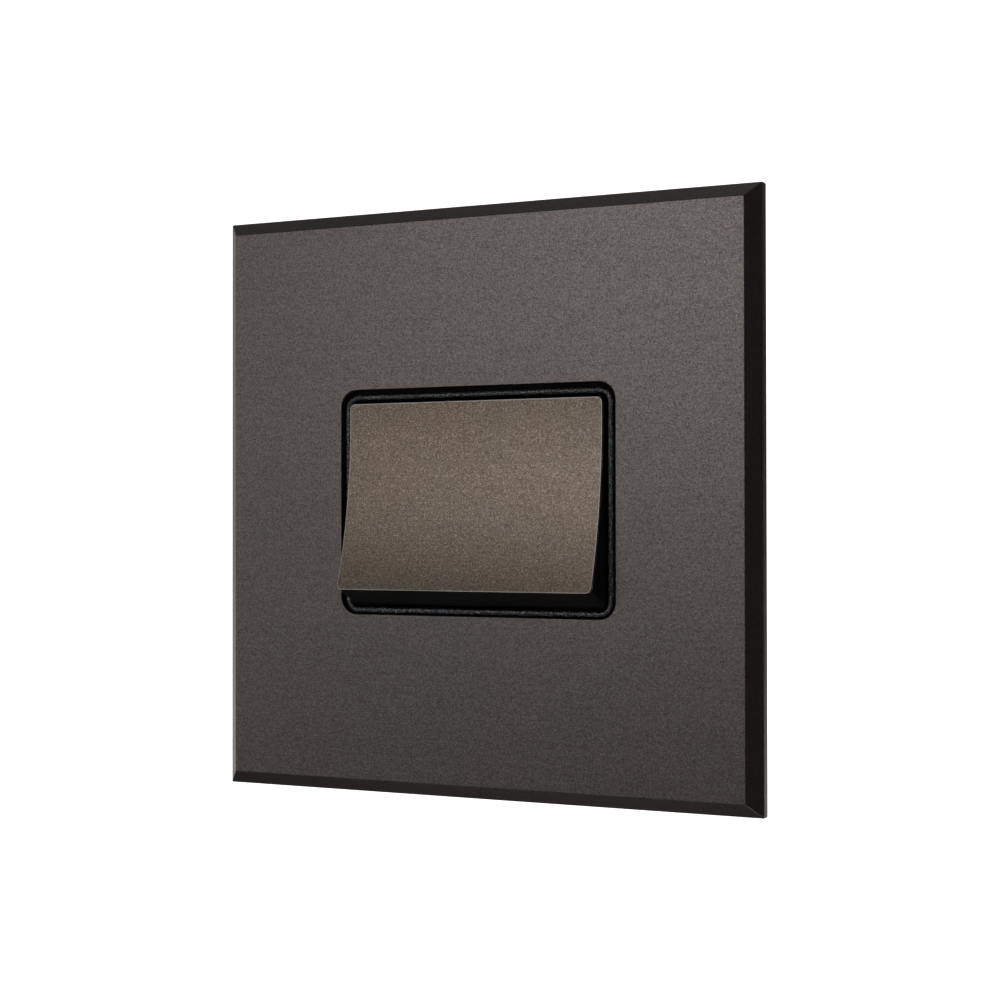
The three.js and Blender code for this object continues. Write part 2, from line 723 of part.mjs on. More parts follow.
function poleClamp(side) {
  const z = mirrored(side, blockInner, blockOuter);
  return wireClamp(terminal.width, [blockFront, blockBack], z, [tunnelFront, tunnelBack]);
}

// The supply terminal: its strap carries the knife edge and two ears that keep the contact on it.
function supplyTerminal() {
  const { body, tools } = poleClamp(-1);
  const w = strap.width / 2;
  const edge = fulcrumY + clearance.seat;
  const shoulder = edge + knife.slope;
  const profile = outline([
    [strapBack, -blockInner - root],
    [strapBack, strap.overrun],
    [strapY, strap.overrun],
    [strapY, knife.half],
    [shoulder, knife.half],
    [edge, knife.edge],
    [edge, -knife.edge],
    [shoulder, -knife.half],
    [strapY, -knife.half],
    [strapY, -blockInner - root],
  ]);
  const earFront = fulcrumY - contact.thick - ear.above;
  const ears = sides.map((side) =>
    block(mirrored(side, contact.waist + clearance.fit, w), [earFront, strapY + root], [-ear.half, ear.half]),
  );
  return cut(join(body, bar(profile, [-w, w]), ...ears), ...tools);
}

// The load terminal: its strap steps forward to the seat of the fixed contact.
function loadTerminal() {
  const { body, tools } = poleClamp(1);
  const w = strap.width / 2;
  const stepStart = blockInner - base.wall - strap.thick;
  const stepEnd = stepStart - (strapY - platformY);
  const seatEnd = tip.place - tip.radius - 2 * clearance.fit;
  const front = [
    [strapY, blockInner + root],
    [strapY, stepStart],
    [platformY, stepEnd],
    [platformY, seatEnd],
  ];
  const back = front.map(([y, z]) => [y + strap.thick, z]).reverse();
  return cut(join(body, bar(outline([...front, ...back]), [-w, w])), ...tools);
}

function earthTerminal() {
  const z = [-earth.height / 2, earth.height / 2];
  const tunnel = [earthTunnelFront, earthTunnelBack];
  const { body, tools } = wireClamp(earth.width, [clearance.slide, earthBack], z, tunnel);
  return cut(body, ...tools);
}

// ---------------------------------------------------------------- assembly

const wallSwitch = new THREE.Group();
wallSwitch.add(
  piece("face_plate", facePlate(), "bronze"),
  piece("carrier_frame", carrierFrame(), "black"),
  piece("mounting_frame", mountingFrame(), "zinc"),
  piece("fixing_screw_left", countersunkScrew(fixing, fixing.head), "steel", [-fixingX, 0, 0]),
  piece("fixing_screw_right", countersunkScrew(fixing, fixing.head), "steel", [fixingX, 0, 0]),
  piece("earth_terminal", earthTerminal(), "brass", [earthX, 0, earthZ]),
);
const earthScrewLength = earthScrewEnd - earthTunnelBack - clearance.slide;
const earthScrewPlace = [earthX, earthScrewEnd, earthZ];
wallSwitch.add(piece("earth_screw", cheeseScrew(wireScrew, earthScrewLength), "steel", earthScrewPlace));

const insert = new THREE.Group();
insert.position.z = -insertDrop;
wallSwitch.add(insert);
insert.add(
  piece("trim_collar", trimCollar(), "black"),
  piece("rocker_housing", rockerHousing(), "moulding"),
  piece("base_moulding", baseMoulding(), "moulding"),
  piece("frame_screw_top", countersunkScrew(frameScrew, frameScrewHead), "steel", [0, 0, frameScrewZ]),
  piece("frame_screw_bottom", countersunkScrew(frameScrew, frameScrewHead), "steel", [0, 0, -frameScrewZ]),
);
corners.forEach(([sx, sz], i) => {
  const screw = cheeseScrew(bodyScrew, baseBack - floorFront + bodyScrew.grip);
  const place = [sx * bodyScrewX, baseBack - clearance.slide, sz * bodyScrewZ];
  insert.add(piece(`body_screw_${i + 1}`, screw, "steel", place));
});
[["left", -1], ["right", 1]].forEach(([word, side]) => {
  const length = bodyHalfX - clearance.slide * 2 - pinInner;
  const pin = axle(pivot.radius, [-length / 2, length / 2], 0);
  insert.add(piece(`pivot_pin_${word}`, pin, "steel", [side * (pinInner + length / 2), pivotY, 0]));
});

// The rocker rests with its upper half in and its lower half out, which is off.
const rockerGroup = new THREE.Group();
rockerGroup.position.y = pivotY;
rockerGroup.rotation.x = -rocker.tilt * degree;
insert.add(rockerGroup);
rockerGroup.add(piece("rocker", rockerBody(), "black"), piece("rocker_cap", rockerCap(), "paleBronze"));

polePlaces.forEach((x, i) => {
  const n = i + 1;
  rockerGroup.add(
    piece(`plunger_${n}`, plungerPin(), "nylon", [x, 0, 0]),
    piece(`plunger_spring_${n}`, plungerSpring(), "steel", [x, 0, 0]),
  );

  const contactGroup = new THREE.Group();
  contactGroup.position.set(x, fulcrumY, 0);
  contactGroup.rotation.x = contact.tilt * degree;
  insert.add(contactGroup);
  contactGroup.add(
    piece(`moving_contact_${n}`, movingContact(), "copper"),
    piece(`moving_tip_${n}`, contactTip(1), "silver", [0, clearance.seat, tip.place]),
  );

  insert.add(
    piece(`supply_terminal_${n}`, supplyTerminal(), "brass", [x, 0, 0]),
    piece(`load_terminal_${n}`, loadTerminal(), "brass", [x, 0, 0]),
    piece(`fixed_tip_${n}`, contactTip(-1), "silver", [x, fixedTipFront + tip.thick, tip.place]),
  );
  const screwLength = wireScrewEnd - tunnelBack - clearance.slide;
  [["supply", -1], ["load", 1]].forEach(([word, side]) => {
    const place = [x, wireScrewEnd, side * blockMiddle];
    insert.add(piece(`${word}_screw_${n}`, cheeseScrew(wireScrew, screwLength), "steel", place));
  });
});

export default wallSwitch;
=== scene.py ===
import json
import math

import bmesh
import bpy
from mathutils import Matrix, Vector


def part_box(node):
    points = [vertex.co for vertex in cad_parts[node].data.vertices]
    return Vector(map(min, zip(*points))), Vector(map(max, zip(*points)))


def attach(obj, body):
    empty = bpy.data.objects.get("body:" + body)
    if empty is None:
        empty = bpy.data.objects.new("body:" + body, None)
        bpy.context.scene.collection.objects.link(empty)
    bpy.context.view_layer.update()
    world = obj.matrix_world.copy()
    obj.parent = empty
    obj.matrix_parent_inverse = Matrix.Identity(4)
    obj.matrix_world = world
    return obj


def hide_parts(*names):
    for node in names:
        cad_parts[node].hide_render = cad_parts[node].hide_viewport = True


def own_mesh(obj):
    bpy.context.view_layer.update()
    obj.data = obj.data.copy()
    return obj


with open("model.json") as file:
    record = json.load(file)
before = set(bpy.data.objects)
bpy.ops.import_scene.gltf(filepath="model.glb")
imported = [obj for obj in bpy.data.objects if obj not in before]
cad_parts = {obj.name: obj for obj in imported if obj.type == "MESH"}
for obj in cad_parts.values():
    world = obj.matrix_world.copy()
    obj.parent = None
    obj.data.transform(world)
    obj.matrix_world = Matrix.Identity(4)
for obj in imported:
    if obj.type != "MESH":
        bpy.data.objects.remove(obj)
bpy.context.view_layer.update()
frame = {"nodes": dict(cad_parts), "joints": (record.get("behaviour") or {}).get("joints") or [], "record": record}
print("frame loaded:", len(frame["nodes"]), "nodes")

# Lengths below are in millimetres; each mesh is scaled to metres when it becomes an object.
mm = 0.001


def millimetres(node):
    low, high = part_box(node)
    return low / mm, high / mm


# Camera first, then the studio

cameraSetup = {"lens": 70.26, "place": (0.134843, -0.264411, -0.003161), "turn": 26.555, "lift": 0.653, "roll": -0.069}


def makeCamera():
    data = bpy.data.cameras.new("camera")
    data.lens = cameraSetup["lens"]
    data.sensor_width = 36.0
    camera = bpy.data.objects.new("camera", data)
    bpy.context.scene.collection.objects.link(camera)
    turn, lift, roll = (math.radians(cameraSetup[k]) for k in ("turn", "lift", "roll"))
    aim = Matrix.Rotation(turn, 4, "Z") @ Matrix.Rotation(math.pi / 2 + lift, 4, "X") @ Matrix.Rotation(roll, 4, "Z")
    camera.matrix_world = Matrix.Translation(cameraSetup["place"]) @ aim
    data.clip_start, data.clip_end = 0.01, 20.0
    bpy.context.scene.camera = camera


makeCamera()


# Shader helpers

def addNode(tree, kind, inputs=None, **settings):
    node = tree.nodes.new(kind)
    for name, value in settings.items():
        setattr(node, name, value)
    for name, value in (inputs or {}).items():
        socket = node.inputs[name]
        if isinstance(value, bpy.types.NodeSocket):
            tree.links.new(value, socket)
        else:
            socket.default_value = value
    return node


def maths(tree, operation, a, b=0.0, clamp=False):
    return addNode(tree, "ShaderNodeMath", {0: a, 1: b}, operation=operation, use_clamp=clamp).outputs[0]


def ramp(tree, value, low, high, outLow=0.0, outHigh=1.0):
    made = addNode(tree, "ShaderNodeMapRange", {0: value, 1: low, 2: high, 3: outLow, 4: outHigh})
    return made.outputs[0]


def blendColours(tree, share, a, b, how="MIX"):
    made = addNode(tree, "ShaderNodeMix", data_type="RGBA", blend_type=how)
    for socket, value in ((made.inputs[0], share), (made.inputs[6], a), (made.inputs[7], b)):
        if isinstance(value, bpy.types.NodeSocket):
            tree.links.new(value, socket)
        else:
            socket.default_value = value
    return made.outputs[2]


def noise(tree, where, scale, detail=2.0, rough=0.5, distortion=0.0):
    inputs = {"Vector": where, "Scale": scale, "Detail": detail, "Roughness": rough, "Distortion": distortion}
    return addNode(tree, "ShaderNodeTexNoise", inputs).outputs[0]


def stretched(tree, where, scale):
    return addNode(tree, "ShaderNodeMapping", {"Vector": where, "Scale": scale}).outputs[0]


def newGroup(name, inputs, outputs):
    group = bpy.data.node_groups.new(name, "ShaderNodeTree")
    for title, kind, value in inputs:
        socket = group.interface.new_socket(name=title, in_out="INPUT", socket_type="NodeSocket" + kind)
        if value is not None:
            socket.default_value = value
    for title, kind in outputs:
        group.interface.new_socket(name=title, in_out="OUTPUT", socket_type="NodeSocket" + kind)
    start = group.nodes.new("NodeGroupInput").outputs
    end = group.nodes.new("NodeGroupOutput").inputs
    return group, start, end


def useGroup(tree, group, inputs):
    node = tree.nodes.new("ShaderNodeGroup")
    node.node_tree = group
    for name, value in inputs.items():
        if isinstance(value, bpy.types.NodeSocket):
            tree.links.new(value, node.inputs[name])
        else:
            node.inputs[name].default_value = value
    return node.outputs


def placeOnPiece(tree):
    return tree.nodes.new("ShaderNodeTexCoord").outputs["Object"]


# Bright edges, partly rubbed wear and partly a painted highlight: where a rounded normal leaves the true one, broken
# up by noise
def edgeWearAndHighlightGroup():
    group, start, end = newGroup(
        "edgeWearAndHighlight",
        [("Radius", "Float", 0.0002), ("Gain", "Float", 6.0), ("Patch Scale", "Float", 900.0), ("Patchiness", "Float", 0.5)],
        [("Mask", "Float")],
    )
    t = group
    soft = addNode(t, "ShaderNodeBevel", {"Radius": start["Radius"]}, samples=6).outputs[0]
    true = t.nodes.new("ShaderNodeNewGeometry").outputs["Normal"]
    alike = addNode(t, "ShaderNodeVectorMath", {0: soft, 1: true}, operation="DOT_PRODUCT").outputs["Value"]
    edge = maths(t, "MULTIPLY", maths(t, "SUBTRACT", 1.0, alike), start["Gain"])
    patches = noise(t, placeOnPiece(t), start["Patch Scale"], 4.0, 0.6)
    keep = maths(t, "SUBTRACT", 1.0, maths(t, "MULTIPLY", start["Patchiness"], ramp(t, patches, 0.35, 0.65)))
    t.links.new(maths(t, "MULTIPLY", edge, keep, clamp=True), end["Mask"])
    return group


# Plated metal: tight speckle, faint straight brush lines, slow cloudy tone and bright specks that are painted glints
def platedGrainGroup():
    group, start, end = newGroup(
        "platedGrain",
        [
            ("Speckle Scale", "Float", 2600.0),
            ("Line Scale", "Vector", (90.0, 90.0, 4200.0)),
            ("Cloud Scale", "Float", 38.0),
            ("Line Share", "Float", 0.35),
        ],
        [("Tone", "Float"), ("Cloud", "Float"), ("Painted Glint", "Float"), ("Height", "Float")],
    )
    t = group
    where = placeOnPiece(t)
    speckle = noise(t, where, start["Speckle Scale"], 3.0, 0.65)
    fine = noise(t, where, maths(t, "MULTIPLY", start["Speckle Scale"], 2.3), 1.0, 0.5)
    lineSpace = addNode(t, "ShaderNodeVectorMath", {0: where, 1: start["Line Scale"]}, operation="MULTIPLY").outputs[0]
    lines = noise(t, lineSpace, 1.0, 3.0, 0.55)
    both = addNode(t, "ShaderNodeMix", {0: start["Line Share"], 2: speckle, 3: lines}, data_type="FLOAT").outputs[0]
    cloud = noise(t, where, start["Cloud Scale"], 3.0, 0.55, 0.6)
    t.links.new(ramp(t, both, 0.25, 0.75), end["Tone"])
    t.links.new(cloud, end["Cloud"])
    # Bright specks for painted glints
    t.links.new(ramp(t, fine, 0.56, 0.7), end["Painted Glint"])
    t.links.new(maths(t, "ADD", both, maths(t, "MULTIPLY", fine, 0.4)), end["Height"])
    return group


# Moulded plastic: spark-eroded grain with smooth flow patches and pale specks, a little dust on most parts and painted
# sparkle highlights on the trim bead
def mouldGrainGroup():
    group, start, end = newGroup(
        "mouldGrain",
        [
            ("Grain Scale", "Float", 3200.0),
            ("Flow Scale", "Float", 60.0),
            ("Dust And Sparkle Scale", "Float", 5200.0),
            ("Dust And Sparkle Amount", "Float", 0.3),
        ],
        [("Grain", "Float"), ("Flow", "Float"), ("Dust And Sparkle", "Float"), ("Height", "Float")],
    )
    t = group
    where = placeOnPiece(t)
    cells = addNode(t, "ShaderNodeTexVoronoi", {"Vector": where, "Scale": start["Grain Scale"]}, feature="SMOOTH_F1")
    fine = noise(t, where, maths(t, "MULTIPLY", start["Grain Scale"], 1.7), 2.0, 0.6)
    grain = maths(t, "ADD", maths(t, "MULTIPLY", cells.outputs["Distance"], 0.6), maths(t, "MULTIPLY", fine, 0.6))
    flow = noise(t, where, start["Flow Scale"], 3.0, 0.5, 0.8)
    specks = noise(t, where, start["Dust And Sparkle Scale"], 1.0, 0.4)
    # Pale specks: dust, and on the trim bead painted sparkle highlights
    dustAndSparkle = maths(t, "MULTIPLY", ramp(t, specks, 0.56, 0.72), start["Dust And Sparkle Amount"])
    for value, name in ((grain, "Grain"), (flow, "Flow"), (dustAndSparkle, "Dust And Sparkle"), (grain, "Height")):
        t.links.new(value, end[name])
    return group


# Machined or rolled metal: long scratches along one axis, tarnish in patches
def toolMarksGroup():
    group, start, end = newGroup(
        "toolMarks",
        [("Line Scale", "Vector", (3000.0, 3000.0, 120.0)), ("Tarnish Scale", "Float", 210.0)],
        [("Lines", "Float"), ("Tarnish", "Float"), ("Height", "Float")],
    )
    t = group
    where = placeOnPiece(t)
    lineSpace = addNode(t, "ShaderNodeVectorMath", {0: where, 1: start["Line Scale"]}, operation="MULTIPLY").outputs[0]
    lines = noise(t, lineSpace, 1.0, 4.0, 0.6)
    tarnish = ramp(t, noise(t, where, start["Tarnish Scale"], 5.0, 0.6, 0.4), 0.4, 0.68)
    t.links.new(ramp(t, lines, 0.3, 0.7), end["Lines"])
    t.links.new(tarnish, end["Tarnish"])
    t.links.new(lines, end["Height"])
    return group


edgeWearAndHighlight = edgeWearAndHighlightGroup()
platedGrain = platedGrainGroup()
mouldGrain = mouldGrainGroup()
toolMarks = toolMarksGroup()


def newMaterial(name):
    material = bpy.data.materials.new(name)
    material.use_nodes = True
    tree = material.node_tree
    return material, tree, tree.nodes["Principled BSDF"]


def connectBump(tree, shader, height, strength, distance):
    bump = addNode(tree, "ShaderNodeBump", {"Height": height, "Strength": strength, "Distance": distance})
    tree.links.new(bump.outputs[0], shader.inputs["Normal"])


# Plated, brushed and lacquered sheet, used for the plate and for the rocker's skin
def platedMetal(name, look):
    material, tree, shader = newMaterial(name)
    grain = useGroup(tree, platedGrain, {
        "Speckle Scale": look["speckle"], "Line Scale": look["lines"],
        "Cloud Scale": look["cloud"], "Line Share": look["lineShare"],
    })
    wearAndHighlight = useGroup(tree, edgeWearAndHighlight, {
        "Radius": look["wearAndHighlightRadius"], "Gain": look["wearAndHighlightGain"],
        "Patch Scale": 700.0, "Patchiness": look["wearAndHighlightPatches"],
    })["Mask"]
    base = blendColours(tree, ramp(tree, grain["Cloud"], 0.35, 0.65), look["warm"], look["cool"])
    dark = blendColours(tree, 1.0, base, (look["dim"],) * 3 + (1,), "MULTIPLY")
    light = blendColours(tree, 1.0, base, (look["lift"],) * 3 + (1,), "MULTIPLY")
    toned = blendColours(tree, grain["Tone"], dark, light)
    # Specks of the spark colour: painted glints in the base colour
    withPaintedGlints = blendColours(tree, maths(tree, "MULTIPLY", grain["Painted Glint"], look["paintedGlintShare"]), toned, look["spark"])
    # Edge colour laid along the mask: partly wear, and on the plate's mitres and the skin's rim a painted highlight
    tree.links.new(blendColours(tree, wearAndHighlight, withPaintedGlints, look["edge"]), shader.inputs["Base Color"])
    rough = ramp(tree, grain["Tone"], 0.0, 1.0, look["roughHigh"], look["roughLow"])
    rubbed = maths(tree, "SUBTRACT", rough, maths(tree, "MULTIPLY", wearAndHighlight, 0.1))
    tree.links.new(rubbed, shader.inputs["Roughness"])
    # Metal lowered along the same edges, so that the painted edge highlight also takes diffuse light
    tree.links.new(ramp(tree, wearAndHighlight, 0.0, 1.0, look["metal"], look["metal"] - look["wearAndHighlightMetal"]), shader.inputs["Metallic"])
    shader.inputs["Coat Weight"].default_value = look["coat"]
    shader.inputs["Coat Roughness"].default_value = look["coatRough"]
    connectBump(tree, shader, grain["Height"], look["bump"], 0.00003)
    return material


def mouldedPlastic(name, look):
    material, tree, shader = newMaterial(name)
    grain = useGroup(tree, mouldGrain, {
        "Grain Scale": look["grain"], "Flow Scale": look["flow"],
        "Dust And Sparkle Scale": look["dustAndSparkleScale"], "Dust And Sparkle Amount": look["dustAndSparkle"],
    })
    wearAndHighlight = useGroup(tree, edgeWearAndHighlight, {
        "Radius": 0.00018, "Gain": look["wearAndHighlightGain"], "Patch Scale": 500.0, "Patchiness": 0.6,
    })["Mask"]
    base = blendColours(tree, ramp(tree, grain["Flow"], 0.3, 0.7), look["dark"], look["light"])
    # Pale specks mixed into the colour: dust, and on the trim bead painted sparkle highlights
    dustedAndSparkled = blendColours(tree, grain["Dust And Sparkle"], base, look["dustAndSparkleColour"])
    tree.links.new(blendColours(tree, wearAndHighlight, dustedAndSparkled, look["edge"]), shader.inputs["Base Color"])
    rough = ramp(tree, grain["Grain"], 0.2, 0.8, look["roughLow"], look["roughHigh"])
    flowed = maths(tree, "ADD", rough, ramp(tree, grain["Flow"], 0.3, 0.7, -0.05, 0.05))
    tree.links.new(flowed, shader.inputs["Roughness"])
    shader.inputs["Specular IOR Level"].default_value = look["gloss"]
    connectBump(tree, shader, grain["Height"], look["bump"], look["bumpDepth"])
    return material


def bareMetal(name, look):
    material, tree, shader = newMaterial(name)
    marks = useGroup(tree, toolMarks, {"Line Scale": look["lines"], "Tarnish Scale": look["tarnishScale"]})
    wearAndHighlight = useGroup(tree, edgeWearAndHighlight, {
        "Radius": 0.00015, "Gain": look["wearAndHighlightGain"], "Patch Scale": 900.0, "Patchiness": 0.4,
    })["Mask"]
    base = blendColours(tree, marks["Lines"], look["dark"], look["light"])
    aged = blendColours(tree, maths(tree, "MULTIPLY", marks["Tarnish"], look["tarnish"]), base, look["tarnishColour"])
    tree.links.new(blendColours(tree, wearAndHighlight, aged, look["edge"]), shader.inputs["Base Color"])
    rough = ramp(tree, marks["Lines"], 0.0, 1.0, look["roughHigh"], look["roughLow"])
    dulled = maths(tree, "ADD", rough, maths(tree, "MULTIPLY", marks["Tarnish"], 0.14))
    tree.links.new(dulled, shader.inputs["Roughness"])
    shader.inputs["Metallic"].default_value = 1.0
    connectBump(tree, shader, marks["Height"], look["bump"], 0.00002)
    return material


def grey(value):
    return (value, value, value, 1.0)


plateLook = {
    "speckle": 3500.0, "lines": (140.0, 140.0, 5600.0), "cloud": 30.0, "lineShare": 0.16,
    "warm": (0.175, 0.146, 0.138, 1), "cool": (0.166, 0.144, 0.137, 1), "dim": 0.36, "lift": 1.55,
    # The spark colour and its share paint bright glints into the plate's colour
    "spark": (0.46, 0.42, 0.40, 1), "paintedGlintShare": 0.7, "edge": (0.62, 0.57, 0.53, 1),
    # The edge colour above and these keys paint a highlight along the plate's edges and mitres, besides wear
    "wearAndHighlightRadius": 0.00018, "wearAndHighlightGain": 5.0, "wearAndHighlightPatches": 0.35, "wearAndHighlightMetal": 0.6,
    "roughLow": 0.36, "roughHigh": 0.5, "metal": 0.94, "coat": 0.12, "coatRough": 0.3, "bump": 0.5,
}
bevelLook = {**plateLook, "dim": 0.8, "lift": 1.2, "paintedGlintShare": 0.15, "bump": 0.15}
skinLook = {
    "speckle": 3300.0, "lines": (160.0, 160.0, 4600.0), "cloud": 55.0, "lineShare": 0.12,
    "warm": (0.222, 0.168, 0.130, 1), "cool": (0.210, 0.170, 0.138, 1), "dim": 0.42, "lift": 1.5,
    # The spark colour and its share paint bright glints into the skin's colour
    "spark": (0.62, 0.53, 0.44, 1), "paintedGlintShare": 0.75, "edge": (0.95, 0.90, 0.84, 1),
    # The near-white edge colour above and these keys paint the highlight along the skin's rim, besides wear
    "wearAndHighlightRadius": 0.00022, "wearAndHighlightGain": 4.5, "wearAndHighlightPatches": 0.12, "wearAndHighlightMetal": 0.8,
    "roughLow": 0.34, "roughHigh": 0.5, "metal": 0.94, "coat": 0.1, "coatRough": 0.3, "bump": 0.55,
}
# The trim's dense bluish specks are painted sparkle highlights on the bead
trimLook = {
    "grain": 3300.0, "flow": 70.0, "dustAndSparkle": 1.0, "dustAndSparkleScale": 6400.0, "dark": (0.006, 0.0065, 0.007, 1), "light": (0.011, 0.012, 0.013, 1),
    "edge": grey(0.03), "dustAndSparkleColour": (0.34, 0.37, 0.40, 1), "wearAndHighlightGain": 1.5, "roughLow": 0.2, "roughHigh": 0.42,
    "gloss": 0.7, "bump": 1.0, "bumpDepth": 0.00012,
}
carrierLook = {**trimLook, "dustAndSparkle": 0.12, "bump": 0.4, "bumpDepth": 0.00004, "roughLow": 0.4, "roughHigh": 0.55, "gloss": 0.4}
# A darker, duller copy of the black plastic: painted shade for the flange seen down the gap round the trim
paintedShadeLook = {
    "grain": 3000.0, "flow": 70.0, "dustAndSparkle": 0.03, "dustAndSparkleScale": 5200.0, "dark": grey(0.002), "light": grey(0.004), "edge": grey(0.006),
    "dustAndSparkleColour": grey(0.05), "wearAndHighlightGain": 0.5, "roughLow": 0.7, "roughHigh": 0.85, "gloss": 0.12, "bump": 0.3,
    "bumpDepth": 0.00003,
}
rockerLook = {
    "grain": 3800.0, "flow": 45.0, "dustAndSparkle": 0.03, "dustAndSparkleScale": 5200.0, "dark": (0.0045, 0.004, 0.0036, 1), "light": (0.007, 0.0064, 0.006, 1),
    "edge": grey(0.02), "dustAndSparkleColour": grey(0.09), "wearAndHighlightGain": 1.2, "roughLow": 0.26, "roughHigh": 0.38, "gloss": 0.32,
    "bump": 0.12, "bumpDepth": 0.00003,
}
mouldingLook = {
    "grain": 2600.0, "flow": 40.0, "dustAndSparkle": 0.08, "dustAndSparkleScale": 5200.0, "dark": grey(0.018), "light": grey(0.030), "edge": grey(0.09),
    "dustAndSparkleColour": grey(0.22), "wearAndHighlightGain": 2.5, "roughLow": 0.4, "roughHigh": 0.6, "gloss": 0.45, "bump": 0.4,
    "bumpDepth": 0.00003,
}
nylonLook = {
    "grain": 2600.0, "flow": 120.0, "dustAndSparkle": 0.05, "dustAndSparkleScale": 5200.0, "dark": (0.62, 0.59, 0.5, 1), "light": (0.7, 0.67, 0.58, 1),
    "edge": (0.8, 0.78, 0.7, 1), "dustAndSparkleColour": (0.4, 0.38, 0.33, 1), "wearAndHighlightGain": 1.0,
    "roughLow": 0.3, "roughHigh": 0.45, "gloss": 0.5, "bump": 0.2, "bumpDepth": 0.00003,
}
zincLook = {
    "lines": (150.0, 3000.0, 3400.0), "tarnishScale": 160.0, "dark": (0.46, 0.47, 0.49, 1), "light": (0.62, 0.63, 0.64, 1),
    "tarnishColour": (0.38, 0.38, 0.36, 1), "tarnish": 0.55, "edge": (0.8, 0.8, 0.8, 1), "wearAndHighlightGain": 3.0,
    "roughLow": 0.28, "roughHigh": 0.42, "bump": 0.25,
}
steelLook = {
    "lines": (2600.0, 220.0, 2600.0), "tarnishScale": 420.0, "dark": (0.42, 0.42, 0.43, 1), "light": (0.58, 0.58, 0.59, 1),
    "tarnishColour": (0.30, 0.28, 0.26, 1), "tarnish": 0.4, "edge": (0.78, 0.78, 0.79, 1), "wearAndHighlightGain": 3.0,
    "roughLow": 0.22, "roughHigh": 0.36, "bump": 0.2,
}
brassLook = {
    "lines": (260.0, 2800.0, 2800.0), "tarnishScale": 260.0, "dark": (0.55, 0.38, 0.15, 1), "light": (0.72, 0.52, 0.24, 1),
    "tarnishColour": (0.30, 0.18, 0.08, 1), "tarnish": 0.5, "edge": (0.86, 0.68, 0.36, 1), "wearAndHighlightGain": 3.0,
    "roughLow": 0.24, "roughHigh": 0.38, "bump": 0.25,
}
copperLook = {
    "lines": (2600.0, 2600.0, 150.0), "tarnishScale": 300.0, "dark": (0.58, 0.27, 0.15, 1), "light": (0.74, 0.38, 0.23, 1),
    "tarnishColour": (0.24, 0.11, 0.07, 1), "tarnish": 0.5, "edge": (0.88, 0.52, 0.34, 1), "wearAndHighlightGain": 3.0,
    "roughLow": 0.24, "roughHigh": 0.38, "bump": 0.25,
}
silverLook = {
    "lines": (1500.0, 1500.0, 1500.0), "tarnishScale": 700.0, "dark": (0.70, 0.69, 0.67, 1), "light": (0.82, 0.81, 0.79, 1),
    "tarnishColour": (0.34, 0.30, 0.24, 1), "tarnish": 0.35, "edge": (0.9, 0.9, 0.88, 1), "wearAndHighlightGain": 2.0,
    "roughLow": 0.2, "roughHigh": 0.34, "bump": 0.2,
}

finishes = {
    "bronze": platedMetal("bronze", plateLook),
    "pale_bronze": platedMetal("paleBronze", skinLook),
    "black_plastic": mouldedPlastic("blackPlastic", trimLook),
    "rocker_black": mouldedPlastic("rockerBlack", rockerLook),
    "moulding": mouldedPlastic("moulding", mouldingLook),
    "nylon": mouldedPlastic("nylon", nylonLook),
    "zinc": bareMetal("zinc", zincLook),
    "steel": bareMetal("steel", steelLook),
    "brass": bareMetal("brass", brassLook),
    "copper": bareMetal("copper", copperLook),
    "silver": bareMetal("silver", silverLook),
}
smoothBronze = platedMetal("smoothBronze", bevelLook)  # the bevels carry little of the face's grain
carrierBlack = mouldedPlastic("carrierBlack", carrierLook)
# Painted shade: the trim's flange behind the gap gets this darker copy of the black plastic
paintedShadeBlack = mouldedPlastic("paintedShadeBlack", paintedShadeLook)  # the same plastic down in the gap round the trim
slotOf = {part["node"]: part["material_slot"] for part in frame["record"]["subparts"]}
bodyOf = {node: body for body, nodes in frame["record"]["behaviour"]["bodies"].items() for node in nodes}
print("materials made:", len(finishes))


# Mesh helpers. X runs right, Z up and Y into the wall.

def cornerLoop(halfX, halfZ, radius, steps=8):
    loop = []
    for sx, sz, start in ((1, 1, 0), (-1, 1, 90), (-1, -1, 180), (1, -1, 270)):
        for i in range(steps + 1):
            angle = math.radians(start + 90 * i / steps)
            x = sx * (halfX - radius) + radius * math.cos(angle)
            z = sz * (halfZ - radius) + radius * math.sin(angle)
            loop.append((x, z))
    return loop


def toObject(bm, name):
    mesh = bpy.data.meshes.new(name)
    bm.to_mesh(mesh)
    bm.free()
    made = bpy.data.objects.new(name, mesh)
    bpy.context.scene.collection.objects.link(made)
    return made


# A skin through rounded-rectangle rings (halfX, halfZ, radius, y). Closed rings meet end to end, open ones are capped.
def loft(name, rings, closed=True, steps=8, lift=0.0):
    bm = bmesh.new()
    made = []
    for halfX, halfZ, radius, y in rings:
        made.append([bm.verts.new((x, y, z + lift)) for x, z in cornerLoop(halfX, halfZ, radius, steps)])
    pairs = list(zip(made, made[1:] + made[:1])) if closed else list(zip(made, made[1:]))
    for near, far in pairs:
        count = len(near)
        for i in range(count):
            j = (i + 1) % count
            bm.faces.new((near[i], near[j], far[j], far[i]))
    if not closed:
        bm.faces.new(made[0])
        bm.faces.new(made[-1])
    bmesh.ops.recalc_face_normals(bm, faces=bm.faces[:])
    return toObject(bm, name)


def slab(name, halfX, halfZ, radius, near, far, x=0.0, z=0.0, steps=8):
    made = loft(name, [(halfX, halfZ, radius, near), (halfX, halfZ, radius, far)], closed=False, steps=steps)
    made.data.transform(Matrix.Translation((x, 0, z)))
    return made


def blockBetween(name, low, high):
    bm = bmesh.new()
    bmesh.ops.create_cube(bm, size=1.0)
    size = Vector(high) - Vector(low)
    middle = (Vector(high) + Vector(low)) / 2
    bm.transform(Matrix.Translation(middle) @ Matrix.Diagonal((*size, 1.0)))
    return toObject(bm, name)


